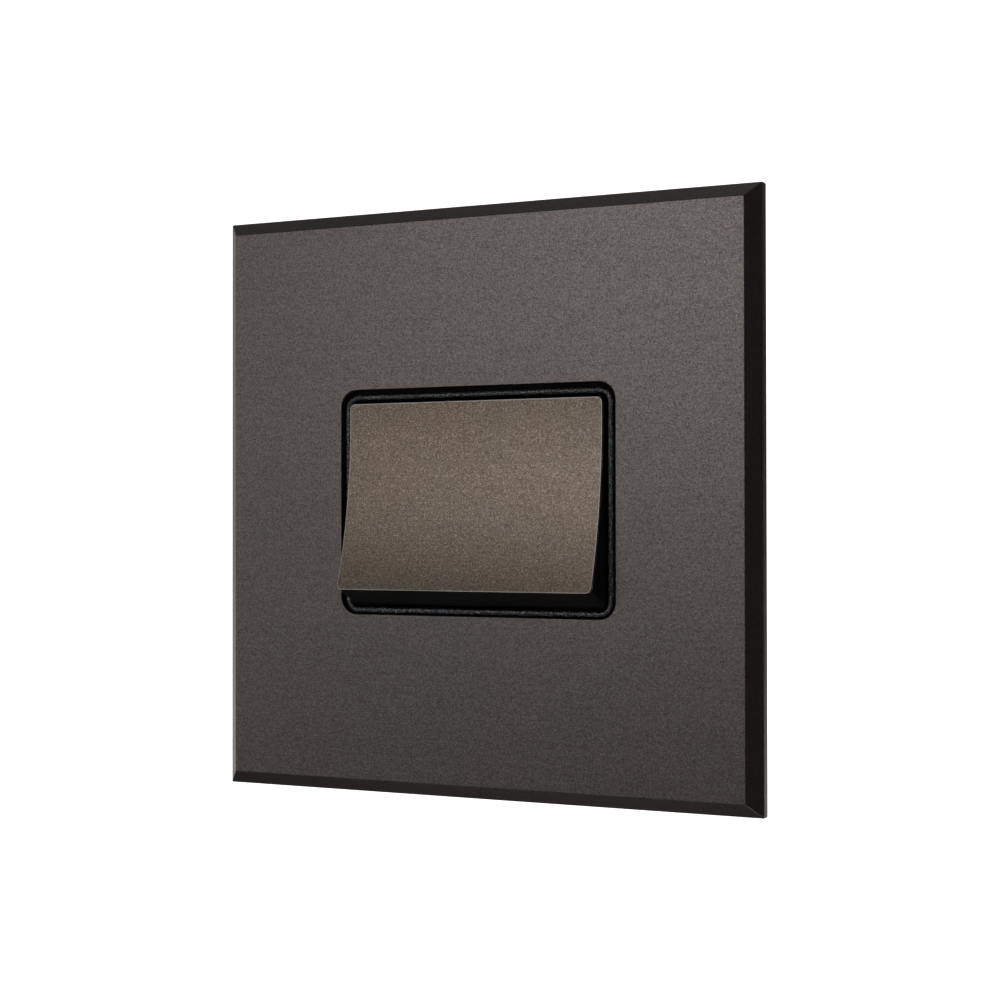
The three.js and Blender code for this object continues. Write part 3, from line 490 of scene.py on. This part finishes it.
# A turned body about Y from (radius, y) pairs; both ends close on the axis.
def turned(name, profile, place=(0, 0, 0), segments=48):
    bm = bmesh.new()
    rings = []
    for radius, y in profile:
        angles = [2 * math.pi * i / segments for i in range(segments)]
        rings.append([bm.verts.new((radius * math.cos(a), y, radius * math.sin(a))) for a in angles])
    for near, far in zip(rings, rings[1:]):
        for i in range(segments):
            j = (i + 1) % segments
            bm.faces.new((near[i], near[j], far[j], far[i]))
    bm.faces.new(rings[0])
    bm.faces.new(rings[-1])
    bmesh.ops.recalc_face_normals(bm, faces=bm.faces[:])
    bm.transform(Matrix.Translation(place))
    return toObject(bm, name)


def rod(name, radius, near, far, x=0.0, z=0.0, segments=48):
    return turned(name, [(radius, near), (radius, far)], (x, 0, z), segments)


def axle(name, radius, left, right, y=0.0, segments=40):
    made = rod(name, radius, left, right, segments=segments)
    made.data.transform(Matrix.Translation((0, y, 0)) @ Matrix.Rotation(-math.pi / 2, 4, "Z"))
    return made


# A flat outline of (y, z) points drawn out along X.
def prism(name, outline, left, right):
    bm = bmesh.new()
    near = [bm.verts.new((left, y, z)) for y, z in outline]
    far = [bm.verts.new((right, y, z)) for y, z in outline]
    for i in range(len(outline)):
        j = (i + 1) % len(outline)
        bm.faces.new((near[i], near[j], far[j], far[i]))
    bm.faces.new(near)
    bm.faces.new(far)
    bmesh.ops.recalc_face_normals(bm, faces=bm.faces[:])
    return toObject(bm, name)


def settle(piece):
    graph = bpy.context.evaluated_depsgraph_get()
    final = bpy.data.meshes.new_from_object(piece.evaluated_get(graph))
    piece.modifiers.clear()
    old = piece.data
    piece.data = final
    bpy.data.meshes.remove(old)
    final.name = piece.name


def combine(base, tools, operation):
    for tool in tools:
        step = base.modifiers.new(tool.name, "BOOLEAN")
        step.operation = operation
        step.solver = "EXACT"
        step.object = tool
    settle(base)
    for tool in tools:
        mesh = tool.data
        bpy.data.objects.remove(tool)
        bpy.data.meshes.remove(mesh)
    return base


def cutFrom(base, tools):
    return combine(base, tools, "DIFFERENCE")


def joinTo(base, tools):
    return combine(base, tools, "UNION")


def tidyFaces(piece, distance=1e-4):
    bm = bmesh.new()
    bm.from_mesh(piece.data)
    bmesh.ops.remove_doubles(bm, verts=bm.verts[:], dist=distance)
    bmesh.ops.dissolve_limit(bm, angle_limit=math.radians(0.6), verts=bm.verts[:], edges=bm.edges[:])
    bmesh.ops.recalc_face_normals(bm, faces=bm.faces[:])
    bm.to_mesh(piece.data)
    bm.free()


# Small rounds on every edge sharper than the angle, in millimetres, then smooth shading that keeps flats flat.
def roundEdges(piece, width, segments=3, angle=30):
    step = piece.modifiers.new("rounds", "BEVEL")
    step.width = width
    step.segments = segments
    step.limit_method = "ANGLE"
    step.angle_limit = math.radians(angle)
    step.use_clamp_overlap = True
    step.miter_outer = "MITER_ARC"
    settle(piece)


def finishPiece(piece, node, place=None, smooth=32):
    if place is not None:
        piece.data.transform(place)
    piece.data.transform(Matrix.Scale(mm, 4))
    piece.data.shade_smooth()
    piece.data.set_sharp_from_angle(angle=math.radians(smooth))
    weighted = piece.modifiers.new("flats", "WEIGHTED_NORMAL")
    weighted.keep_sharp = True
    settle(piece)
    piece.data.materials.clear()
    piece.data.materials.append(finishes[slotOf[node]])
    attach(piece, bodyOf[node])
    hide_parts(node)
    return piece


# Face plate: bevelled sheet with a hollow back and a rounded window

plate = {"bevel": 2.1, "skin": 1.2, "rim": 3.0, "recessCorner": 1.0, "corner": 0.16, "edge": 0.1,
         "windowHalf": (23.2, 17.4), "windowCorner": 2.7}


def makePlate():
    low, high = millimetres("face_plate")
    half, front = high.x, low.y
    skinBack = front + plate["skin"]
    inner, recess = half - plate["bevel"], half - plate["rim"]
    windowX, windowZ = plate["windowHalf"]
    piece = loft("face_plate_skin", [
        (windowX, windowZ, plate["windowCorner"], skinBack),
        (windowX, windowZ, plate["windowCorner"], front),
        (inner, inner, plate["corner"], front),
        (half, half, plate["corner"], front + plate["bevel"]),
        (half, half, plate["corner"], 0.0),
        (recess, recess, plate["recessCorner"], 0.0),
        (recess, recess, plate["recessCorner"], skinBack),
    ], steps=10)
    roundEdges(piece, plate["edge"], 3)
    finishPiece(piece, "face_plate", smooth=60)
    piece.data.materials.append(smoothBronze)
    for face in piece.data.polygons:
        if max(abs(face.center.x), abs(face.center.z)) > (inner + plate["edge"] / 2) * mm:
            face.material_index = 1


makePlate()

# Trim collar: textured bead, flange behind the plate and four snap legs

trim = {"inner": (21.8, 16.05), "bead": 0.75, "recess": 0.32, "crown": 0.3, "corner": 2.3, "inCorner": 1.2, "deepCorner": 0.9,
        "drop": -0.25, "legOffset": 12.0, "legWidth": 5.0, "legThick": 0.8, "barb": 0.35, "nose": 1.0}


def makeTrim():
    low, high = millimetres("trim_collar")
    plateFront = millimetres("face_plate")[0].y
    crest = low.y
    innerX, innerZ = trim["inner"]
    middleX, middleZ = innerX + trim["bead"] / 2, innerZ + trim["bead"] / 2
    flangeX = high.x
    flangeZ = high.z - trim["drop"]
    flangeFront, flangeBack = -2.25, -1.55
    arc = []
    for i in range(9):
        angle = math.pi * i / 8
        out = -math.cos(angle) * trim["bead"] / 2
        corner = trim["inCorner"] + (trim["corner"] - trim["inCorner"]) * i / 8
        arc.append((middleX + out, middleZ + out, corner, crest + trim["crown"] * (1 - math.sin(angle))))
    piece = loft("trim_collar_bead", [
        (innerX, innerZ, trim["deepCorner"], flangeBack),
        *arc,
        (innerX + trim["bead"], innerZ + trim["bead"], trim["corner"], flangeFront),
        (flangeX, flangeZ, trim["corner"], flangeFront),
        (flangeX, flangeZ, trim["corner"], flangeBack),
    ], steps=12)
    legs = []
    legEnd = high.y
    for sx in (-1, 1):
        for sz in (-1, 1):
            inner, outer = 17.401, 18.201
            outline = [(flangeBack - 0.2, inner), (flangeBack - 0.2, outer), (legEnd, outer), (legEnd, inner),
                       (legEnd - trim["nose"], inner - trim["barb"]), (legEnd - trim["nose"] - 0.3, inner)]
            left = sx * trim["legOffset"] - trim["legWidth"] / 2
            legs.append(prism("leg", [(y, sz * z) for y, z in outline], left, left + trim["legWidth"]))
    joinTo(piece, legs)
    tidyFaces(piece)
    finishPiece(piece, "trim_collar", Matrix.Translation((0, 0, trim["drop"])), smooth=40)
    # Faces at the flange's depth get the painted-shade copy of the black plastic
    piece.data.materials.append(paintedShadeBlack)
    for face in piece.data.polygons:
        deepest = min(piece.data.vertices[v].co.y for v in face.vertices)
        face.material_index = 1 if deepest > (flangeFront - 0.02) * mm else 0


makeTrim()

# Rocker: a black flared body and a thin hollow-ground metal skin on its front

rocker = {"halfX": 21.25, "halfZ": 14.41, "corner": 0.8, "dish": 78.0, "rise": 7.7, "flareX": 0.25, "flareZ": 1.59,
          "flareDepth": 5.5, "skirt": 1.0, "skin": 0.5, "gap": 0.05, "wall": 1.6, "ceiling": -4.257,
          "inside": (19.9, 14.2), "rib": 1.2, "guide": 2.7, "guideEnd": 3.5, "bore": 1.85, "boss": 2.8, "bossDepth": 1.8,
          "pinBore": 1.08, "pitch": 15.0, "slices": 36, "skinEdge": 0.13}
tilt = math.radians(frame["joints"][0]["range_deg"][1] / 2)
pivot = Vector(frame["joints"][0]["pos_m"]) / mm
rockerPlace = Matrix.Translation(pivot) @ Matrix.Rotation(-tilt, 4, "X")


def dishAt(z, sunk=0.0):
    drop = rocker["dish"] - math.sqrt(rocker["dish"] ** 2 - rocker["halfZ"] ** 2)
    centre = drop - rocker["rise"] - rocker["dish"]
    return centre + math.sqrt((rocker["dish"] + sunk) ** 2 - z * z)


# A rounded rectangle sliced into narrow strips, so that it can bend.
def slicedOutline(bm):
    loop = cornerLoop(rocker["halfX"], rocker["halfZ"], rocker["corner"], 8)
    bm.faces.new([bm.verts.new((x, 0, z)) for x, z in loop])
    for i in range(1, rocker["slices"]):
        z = rocker["halfZ"] * (2 * i / rocker["slices"] - 1)
        everything = bm.verts[:] + bm.edges[:] + bm.faces[:]
        bmesh.ops.bisect_plane(bm, geom=everything, plane_co=(0, 0, z), plane_no=(0, 0, 1))


def drawOut(bm):
    result = bmesh.ops.extrude_face_region(bm, geom=[f for f in bm.faces if f.select])
    moved = [v for v in result["geom"] if isinstance(v, bmesh.types.BMVert)]
    faces = [f for f in result["geom"] if isinstance(f, bmesh.types.BMFace)]
    for f in bm.faces:
        f.select = False
    for f in faces:
        f.select = True
    return moved


def makeSkin():
    bm = bmesh.new()
    slicedOutline(bm)
    for f in bm.faces:
        f.select = True
    front = bm.verts[:]
    back = drawOut(bm)
    for v in front:
        v.co.y = dishAt(v.co.z)
    for v in back:
        v.co.y = dishAt(v.co.z, rocker["skin"])
    bmesh.ops.recalc_face_normals(bm, faces=bm.faces[:])
    piece = toObject(bm, "rocker_metal_skin")
    roundEdges(piece, rocker["skinEdge"], 3, 50)
    finishPiece(piece, "rocker_cap", rockerPlace, smooth=60)


def makeRockerBody():
    bm = bmesh.new()
    slicedOutline(bm)
    for f in bm.faces:
        f.select = True
    start = {v: v.co.copy() for v in bm.verts}
    front = bm.verts[:]
    waist = drawOut(bm)
    waistStart = {v: v.co.copy() for v in waist}
    skirt = drawOut(bm)
    skirtStart = {v: v.co.copy() for v in skirt}
    spreadX = rocker["flareX"] / rocker["flareDepth"] / rocker["halfX"]
    spreadZ = rocker["flareZ"] / rocker["flareDepth"] / rocker["halfZ"]

    def settleAt(v, at, y):
        back = y + rocker["rise"]
        widest = min(back, rocker["flareDepth"])
        v.co = Vector((at.x * (1 + spreadX * back), y, at.z * (1 + spreadZ * widest)))

    for v in front:
        settleAt(v, start[v], dishAt(start[v].z, rocker["skin"] + rocker["gap"]))
    for v in waist:
        settleAt(v, waistStart[v], rocker["flareDepth"] - rocker["rise"])
    for v in skirt:
        settleAt(v, skirtStart[v], rocker["skirt"])
    bmesh.ops.recalc_face_normals(bm, faces=bm.faces[:])
    piece = toObject(bm, "rocker_body")
    insideX, insideZ = rocker["inside"]
    ceiling = rocker["ceiling"]
    cutFrom(piece, [blockBetween("hollow", (-insideX, ceiling, -insideZ), (insideX, rocker["skirt"] + 1, insideZ))])
    places = [-rocker["pitch"], 0.0, rocker["pitch"]]
    ribHalf = rocker["rib"] / 2
    joined = [blockBetween("rib", (-insideX - 0.2, ceiling - 0.2, -ribHalf), (insideX + 0.2, 0, ribHalf))]
    joined += [rod("guide", rocker["guide"], ceiling - 0.2, rocker["guideEnd"], x) for x in places]
    for side in (-1, 1):
        ends = sorted((side * (insideX - rocker["bossDepth"]), side * (insideX + 0.2)))
        joined.append(axle("boss", rocker["boss"], *ends))
    joinTo(piece, joined)
    cuts = [rod("bore", rocker["bore"], ceiling + 0.2, rocker["guideEnd"] + 1, x) for x in places]
    for side in (-1, 1):
        ends = sorted((side * (insideX - rocker["bossDepth"] - 0.2), side * 23.0))
        cuts.append(axle("pinBore", rocker["pinBore"], *ends))
    cutFrom(piece, cuts)
    tidyFaces(piece)
    finishPiece(piece, "rocker", rockerPlace, smooth=40)


makeSkin()
makeRockerBody()
print("plate, trim and rocker made")


# Screws: turned heads with a driver's recess and shanks with a real helical thread

screws = {
    "fixing": {"nodes": ["fixing_screw_left", "fixing_screw_right"], "head": 3.2, "shank": 1.7, "length": 25.0,
               "pitch": 0.6, "style": "sunk", "plain": 1.2},
    "frame": {"nodes": ["frame_screw_top", "frame_screw_bottom"], "head": 2.7, "shank": 1.3, "length": 7.0,
              "pitch": 0.5, "style": "sunk", "plain": 0.3},
    "body": {"nodes": ["body_screw_1", "body_screw_2", "body_screw_3", "body_screw_4"], "head": 1.9, "shank": 1.1,
             "length": 18.688, "pitch": 0.8, "style": "cheese", "high": 1.4, "slot": 0.8, "plain": 6.0},
    "wire": {"nodes": [f"{end}_screw_{n}" for end in ("supply", "load") for n in (1, 2, 3)], "head": 2.6, "shank": 1.7,
             "length": 6.1, "pitch": 0.6, "style": "cheese", "high": 2.0, "slot": 0.8, "plain": 0.2},
    "earth": {"nodes": ["earth_screw"], "head": 2.6, "shank": 1.7, "length": 5.2, "pitch": 0.6, "style": "cheese",
              "high": 2.0, "slot": 0.8, "plain": 0.2},
}
screwDetail = {"sides": 32, "stepsPerPitch": 8, "depth": 0.16, "headRound": 0.07, "sunkRim": 0.12,
               "crossLong": 0.55, "crossWide": 0.11, "crossDeep": 0.45, "domeDrop": 0.12,
               "spin": 12, "spinStep": 49}


def driverCross(head):
    long, wide, deep = (head * screwDetail[k] for k in ("crossLong", "crossWide", "crossDeep"))
    wedge = [(-1.0, -long * 1.1), (-1.0, long * 1.1), (deep, wide * 1.2), (deep, -wide * 1.2)]
    upright = prism("crossUpright", wedge, -wide, wide)
    across = prism("crossAcross", wedge, -wide, wide)
    across.data.transform(Matrix.Rotation(math.pi / 2, 4, "Y"))
    return [upright, across]


def threadedShank(kind, near):
    sides, steps = screwDetail["sides"], screwDetail["stepsPerPitch"]
    radius, pitch, length = kind["shank"], kind["pitch"], kind["length"]
    count = int((length - near) / pitch * steps)
    bm = bmesh.new()
    rings = []
    for i in range(count + 1):
        y = near + (length - near) * i / count
        ring = []
        for k in range(sides):
            angle = 2 * math.pi * k / sides
            phase = (y / pitch - k / sides) % 1.0
            fade = min(1.0, max(0.0, (y - near - kind["plain"]) / pitch))
            groove = screwDetail["depth"] * radius * (1 - abs(2 * phase - 1)) * fade
            point = min(radius - groove, radius * 0.5 + (length - y))
            ring.append(bm.verts.new((point * math.cos(angle), y, point * math.sin(angle))))
        rings.append(ring)
    for a, b in zip(rings, rings[1:]):
        for k in range(sides):
            j = (k + 1) % sides
            bm.faces.new((a[k], a[j], b[j], b[k]))
    bm.faces.new(rings[0])
    bm.faces.new(rings[-1])
    bmesh.ops.recalc_face_normals(bm, faces=bm.faces[:])
    return toObject(bm, "shank")


# Head's outer face at y = 0, shank along +Y
def screwMesh(kind):
    head, shank = kind["head"], kind["shank"]
    if kind["style"] == "sunk":
        rim, drop = screwDetail["sunkRim"], head - shank
        profile = [(head - 0.25, 0), (head, 0.06), (head, rim), (shank, drop + rim * 0.5), (shank * 0.96, drop + 0.3)]
        under = drop + 0.25
        tools = driverCross(head)
    else:
        high, dome = kind["high"], screwDetail["domeDrop"]
        profile = [(head * 0.35, 0), (head * 0.75, dome * 0.35), (head - 0.2, dome), (head, dome + 0.2), (head, high)]
        under = high - 0.05
        half = kind["slot"] / 2
        tools = [blockBetween("slot", (-head - 1, -1, -half), (head + 1, high / 2, half))]
    top = cutFrom(turned("screwHead", profile, segments=40), tools)
    tidyFaces(top)
    roundEdges(top, screwDetail["headRound"], 2, 35)
    shankPart = threadedShank(kind, under)
    bm = bmesh.new()
    bm.from_mesh(top.data)
    bm.from_mesh(shankPart.data)
    for part in (top, shankPart):
        mesh = part.data
        bpy.data.objects.remove(part)
        bpy.data.meshes.remove(mesh)
    mesh = bpy.data.meshes.new("screw")
    bm.to_mesh(mesh)
    bm.free()
    return mesh


def makeScrews():
    for kind in screws.values():
        pattern = screwMesh(kind)
        for index, node in enumerate(kind["nodes"]):
            low, high = millimetres(node)
            facing = kind["style"] == "sunk"
            place = Vector(((low.x + high.x) / 2, low.y if facing else high.y, (low.z + high.z) / 2))
            spin = Matrix.Rotation(math.radians(screwDetail["spin"] + screwDetail["spinStep"] * index), 4, "Y")
            turnRound = Matrix.Identity(4) if facing else Matrix.Rotation(math.pi, 4, "X")
            made = bpy.data.objects.new(node + "_threaded", pattern.copy())
            bpy.context.scene.collection.objects.link(made)
            finishPiece(made, node, Matrix.Translation(place) @ turnRound @ spin, smooth=38)
        bpy.data.meshes.remove(pattern)


makeScrews()

# Mechanism: pins, nylon plungers and their springs

mechanism = {"pinRadius": 1.0, "pinChamfer": 0.15, "plungerRadius": 1.75, "plungerTip": 1.2, "plungerReach": 9.0,
             "plungerBack": -0.5, "taperFrom": 5.4, "taperTo": 6.6, "coil": 1.3, "wire": 0.3, "turns": 5,
             "coilFrom": -3.607, "coilTo": -0.75, "closing": 0.42, "squashKeep": 0.79}


def makePins():
    for side in ("left", "right"):
        low, high = millimetres("pivot_pin_" + side)
        chamfer, radius = mechanism["pinChamfer"], mechanism["pinRadius"]
        length = high.x - low.x
        profile = [(radius - chamfer, 0), (radius, chamfer), (radius, length - chamfer), (radius - chamfer, length)]
        pin = turned("pivot_pin_" + side + "_turned", profile, segments=40)
        centre = Vector((low.x, (low.y + high.y) / 2, (low.z + high.z) / 2))
        finishPiece(pin, "pivot_pin_" + side, Matrix.Translation(centre) @ Matrix.Rotation(-math.pi / 2, 4, "Z"))


def plungerProfile():
    m = mechanism
    nose, reach, radius = m["plungerTip"], m["plungerReach"], m["plungerRadius"]
    profile = [(radius - 0.2, m["plungerBack"]), (radius, m["plungerBack"] + 0.2), (radius, m["taperFrom"]),
               (nose, m["taperTo"]), (nose, reach - nose)]
    for i in range(1, 9):
        angle = math.pi / 2 * i / 9
        profile.append((nose * math.cos(angle), reach - nose + nose * math.sin(angle)))
    return profile


def springMesh():
    m = mechanism
    sides, steps = 10, 28
    bm = bmesh.new()
    rings = []
    count = m["turns"] * steps
    for i in range(count + 1):
        t = i / count
        eased = t - m["closing"] * math.sin(2 * math.pi * t) / (2 * math.pi)
        angle = 2 * math.pi * m["turns"] * t
        outward = Vector((math.cos(angle), 0, math.sin(angle)))
        middle = outward * m["coil"] + Vector((0, m["coilFrom"] + (m["coilTo"] - m["coilFrom"]) * eased, 0))
        ring = []
        for k in range(sides):
            around = 2 * math.pi * k / sides
            offset = outward * math.cos(around) + Vector((0, math.sin(around), 0))
            ring.append(bm.verts.new(middle + offset * m["wire"] / 2))
        rings.append(ring)
    for a, b in zip(rings, rings[1:]):
        for k in range(sides):
            j = (k + 1) % sides
            bm.faces.new((a[k], a[j], b[j], b[k]))
    bm.faces.new(rings[0])
    bm.faces.new(rings[-1])
    bmesh.ops.recalc_face_normals(bm, faces=bm.faces[:])
    return bm


def makePlungers():
    for n in (1, 2, 3):
        x = (n - 2) * rocker["pitch"]
        place = rockerPlace @ Matrix.Translation((x, 0, 0))
        finishPiece(turned(f"plunger_{n}_turned", plungerProfile(), segments=40), f"plunger_{n}", place, 50)
        coil = toObject(springMesh(), f"plunger_spring_{n}_coil")
        finishPiece(coil, f"plunger_spring_{n}", place, smooth=60)
        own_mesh(coil)


makePins()
makePlungers()
print("screws, pins, plungers and springs made")

# Mouldings and pressings: the CAD shape with small rounds on its edges

softEdges = {
    "base_moulding": 0.16, "rocker_housing": 0.14, "carrier_frame": 0.12, "mounting_frame": 0.1,
    "earth_terminal": 0.14, "supply_terminal": 0.1, "load_terminal": 0.1, "moving_contact": 0.08,
    "fixed_tip": 0.08, "moving_tip": 0.08,
}


def softenedCopy(node, width):
    made = bpy.data.objects.new(node + "_rounded", frame["nodes"][node].data.copy())
    bpy.context.scene.collection.objects.link(made)
    made.data.transform(Matrix.Scale(1 / mm, 4))
    tidyFaces(made, 1e-3)
    roundEdges(made, width, 2, 35)
    finishPiece(made, node, smooth=35)
    if node == "carrier_frame":
        made.data.materials[0] = carrierBlack


def makeSoftened():
    for node in frame["nodes"]:
        stem = node.rstrip("_123")
        if stem in softEdges:
            softenedCopy(node, softEdges[stem])


makeSoftened()


# Anything left keeps its CAD shape, with a finish of its own
def finishTheRest():
    for name, node in frame["nodes"].items():
        if node.hide_render:
            continue
        node.data.materials.clear()
        node.data.materials.append(finishes[slotOf[name]])


finishTheRest()
print("mouldings and pressings rounded")

# Studio: pale floor, white sweep behind and soft boxes in front

studio = {
    "floorDrop": 0.16, "backdropY": 1.1, "glow": 1.0, "reach": 4.0, "height": 3.0, "ambient": 0.0, "view": 1.0,
    "floorSplit": 0.12, "backdropSplit": 0.55, "mirrorGlow": 0.35,
    "boxes": {  # turn from the front, lift above level, distance, width, height and power
        "keyBox": (-17, 14, 1.0, 0.44, 0.42, 1.27),
        "rightBox": (6, 9, 1.0, 0.44, 0.40, 0.24),
        "leftBox": (-46, -2, 1.0, 0.44, 0.40, 0.36),
        "rearBox": (-117, 4, 1.0, 0.6, 0.8, 0.8),
        "glintBox": (42, -56, 1.0, 0.3, 0.3, 0.5),
        "topBox": (0, 84, 1.2, 0.7, 0.5, 0.3),
        "lowBox": (-62, -64, 1.0, 0.6, 0.4, 0.3),
    },
    "fill": 3.0,
}


def flatSheet(name, corners, colour, glow, mirrorGlow):
    bm = bmesh.new()
    bm.faces.new([bm.verts.new(c) for c in corners])
    sheet = toObject(bm, name)
    material, tree, shader = newMaterial(name)
    shader.inputs["Base Color"].default_value = colour
    shader.inputs["Roughness"].default_value = 0.9
    shader.inputs["Emission Color"].default_value = colour
    seen = tree.nodes.new("ShaderNodeLightPath").outputs["Is Camera Ray"]
    tree.links.new(ramp(tree, seen, 0.0, 1.0, mirrorGlow, glow), shader.inputs["Emission Strength"])
    sheet.data.materials.append(material)
    return sheet


def softBox(name, place, aim, width, height, power, **sight):
    data = bpy.data.lights.new(name, "AREA")
    data.shape = "RECTANGLE"
    data.size, data.size_y = width, height
    data.energy = power
    box = bpy.data.objects.new(name, data)
    bpy.context.scene.collection.objects.link(box)
    direction = Vector(aim) - Vector(place)
    box.location = place
    box.rotation_euler = direction.to_track_quat("-Z", "Z").to_euler()
    box.visible_camera = False
    for key, value in sight.items():
        setattr(box, key, value)
    return box


def makeStudio():
    drop, back = studio["floorDrop"], studio["backdropY"]
    reach, high = studio["reach"], studio["height"]
    white = (1, 1, 1, 1)
    split, rise = studio["floorSplit"], studio["backdropSplit"]
    sweep = {  # two opposite corners of each sheet, and whether polished faces mirror it
        "frontFloor": ((-reach, -reach, -drop), (reach, split, -drop), False),
        "rearFloor": ((-reach, split, -drop), (reach, back, -drop), True),
        "lowBackdrop": ((-reach, back, -drop), (reach, back, rise), False),
        "highBackdrop": ((-reach, back, rise), (reach, back, high), True),
    }
    for name, (near, far, mirrored) in sweep.items():
        corners = [near, (far[0], near[1], near[2]), far, (near[0], far[1], far[2])]
        flatSheet(name, corners, white, studio["glow"], studio["mirrorGlow"]).visible_glossy = mirrored
    world = bpy.data.worlds.new("studio")
    bpy.context.scene.world = world
    world.use_nodes = True
    tree = world.node_tree
    shade = tree.nodes["Background"]
    shade.inputs["Color"].default_value = white
    sight = tree.nodes.new("ShaderNodeLightPath").outputs["Is Camera Ray"]
    tree.links.new(ramp(tree, sight, 0.0, 1.0, studio["ambient"], studio["view"]), shade.inputs["Strength"])
    for name, (turn, lift, away, width, height, power) in studio["boxes"].items():
        turn, lift = math.radians(turn), math.radians(lift)
        flat = away * math.cos(lift)
        place = (flat * math.sin(turn), -flat * math.cos(turn), away * math.sin(lift))
        softBox(name, place, (0, 0, 0), width, height, power)
    softBox("fill", (0, -0.1, 1.4), (0, 0, 0), 2.2, 1.6, studio["fill"], visible_glossy=False)
    bpy.context.scene.view_settings.view_transform = "Standard"


makeStudio()
print("studio made")
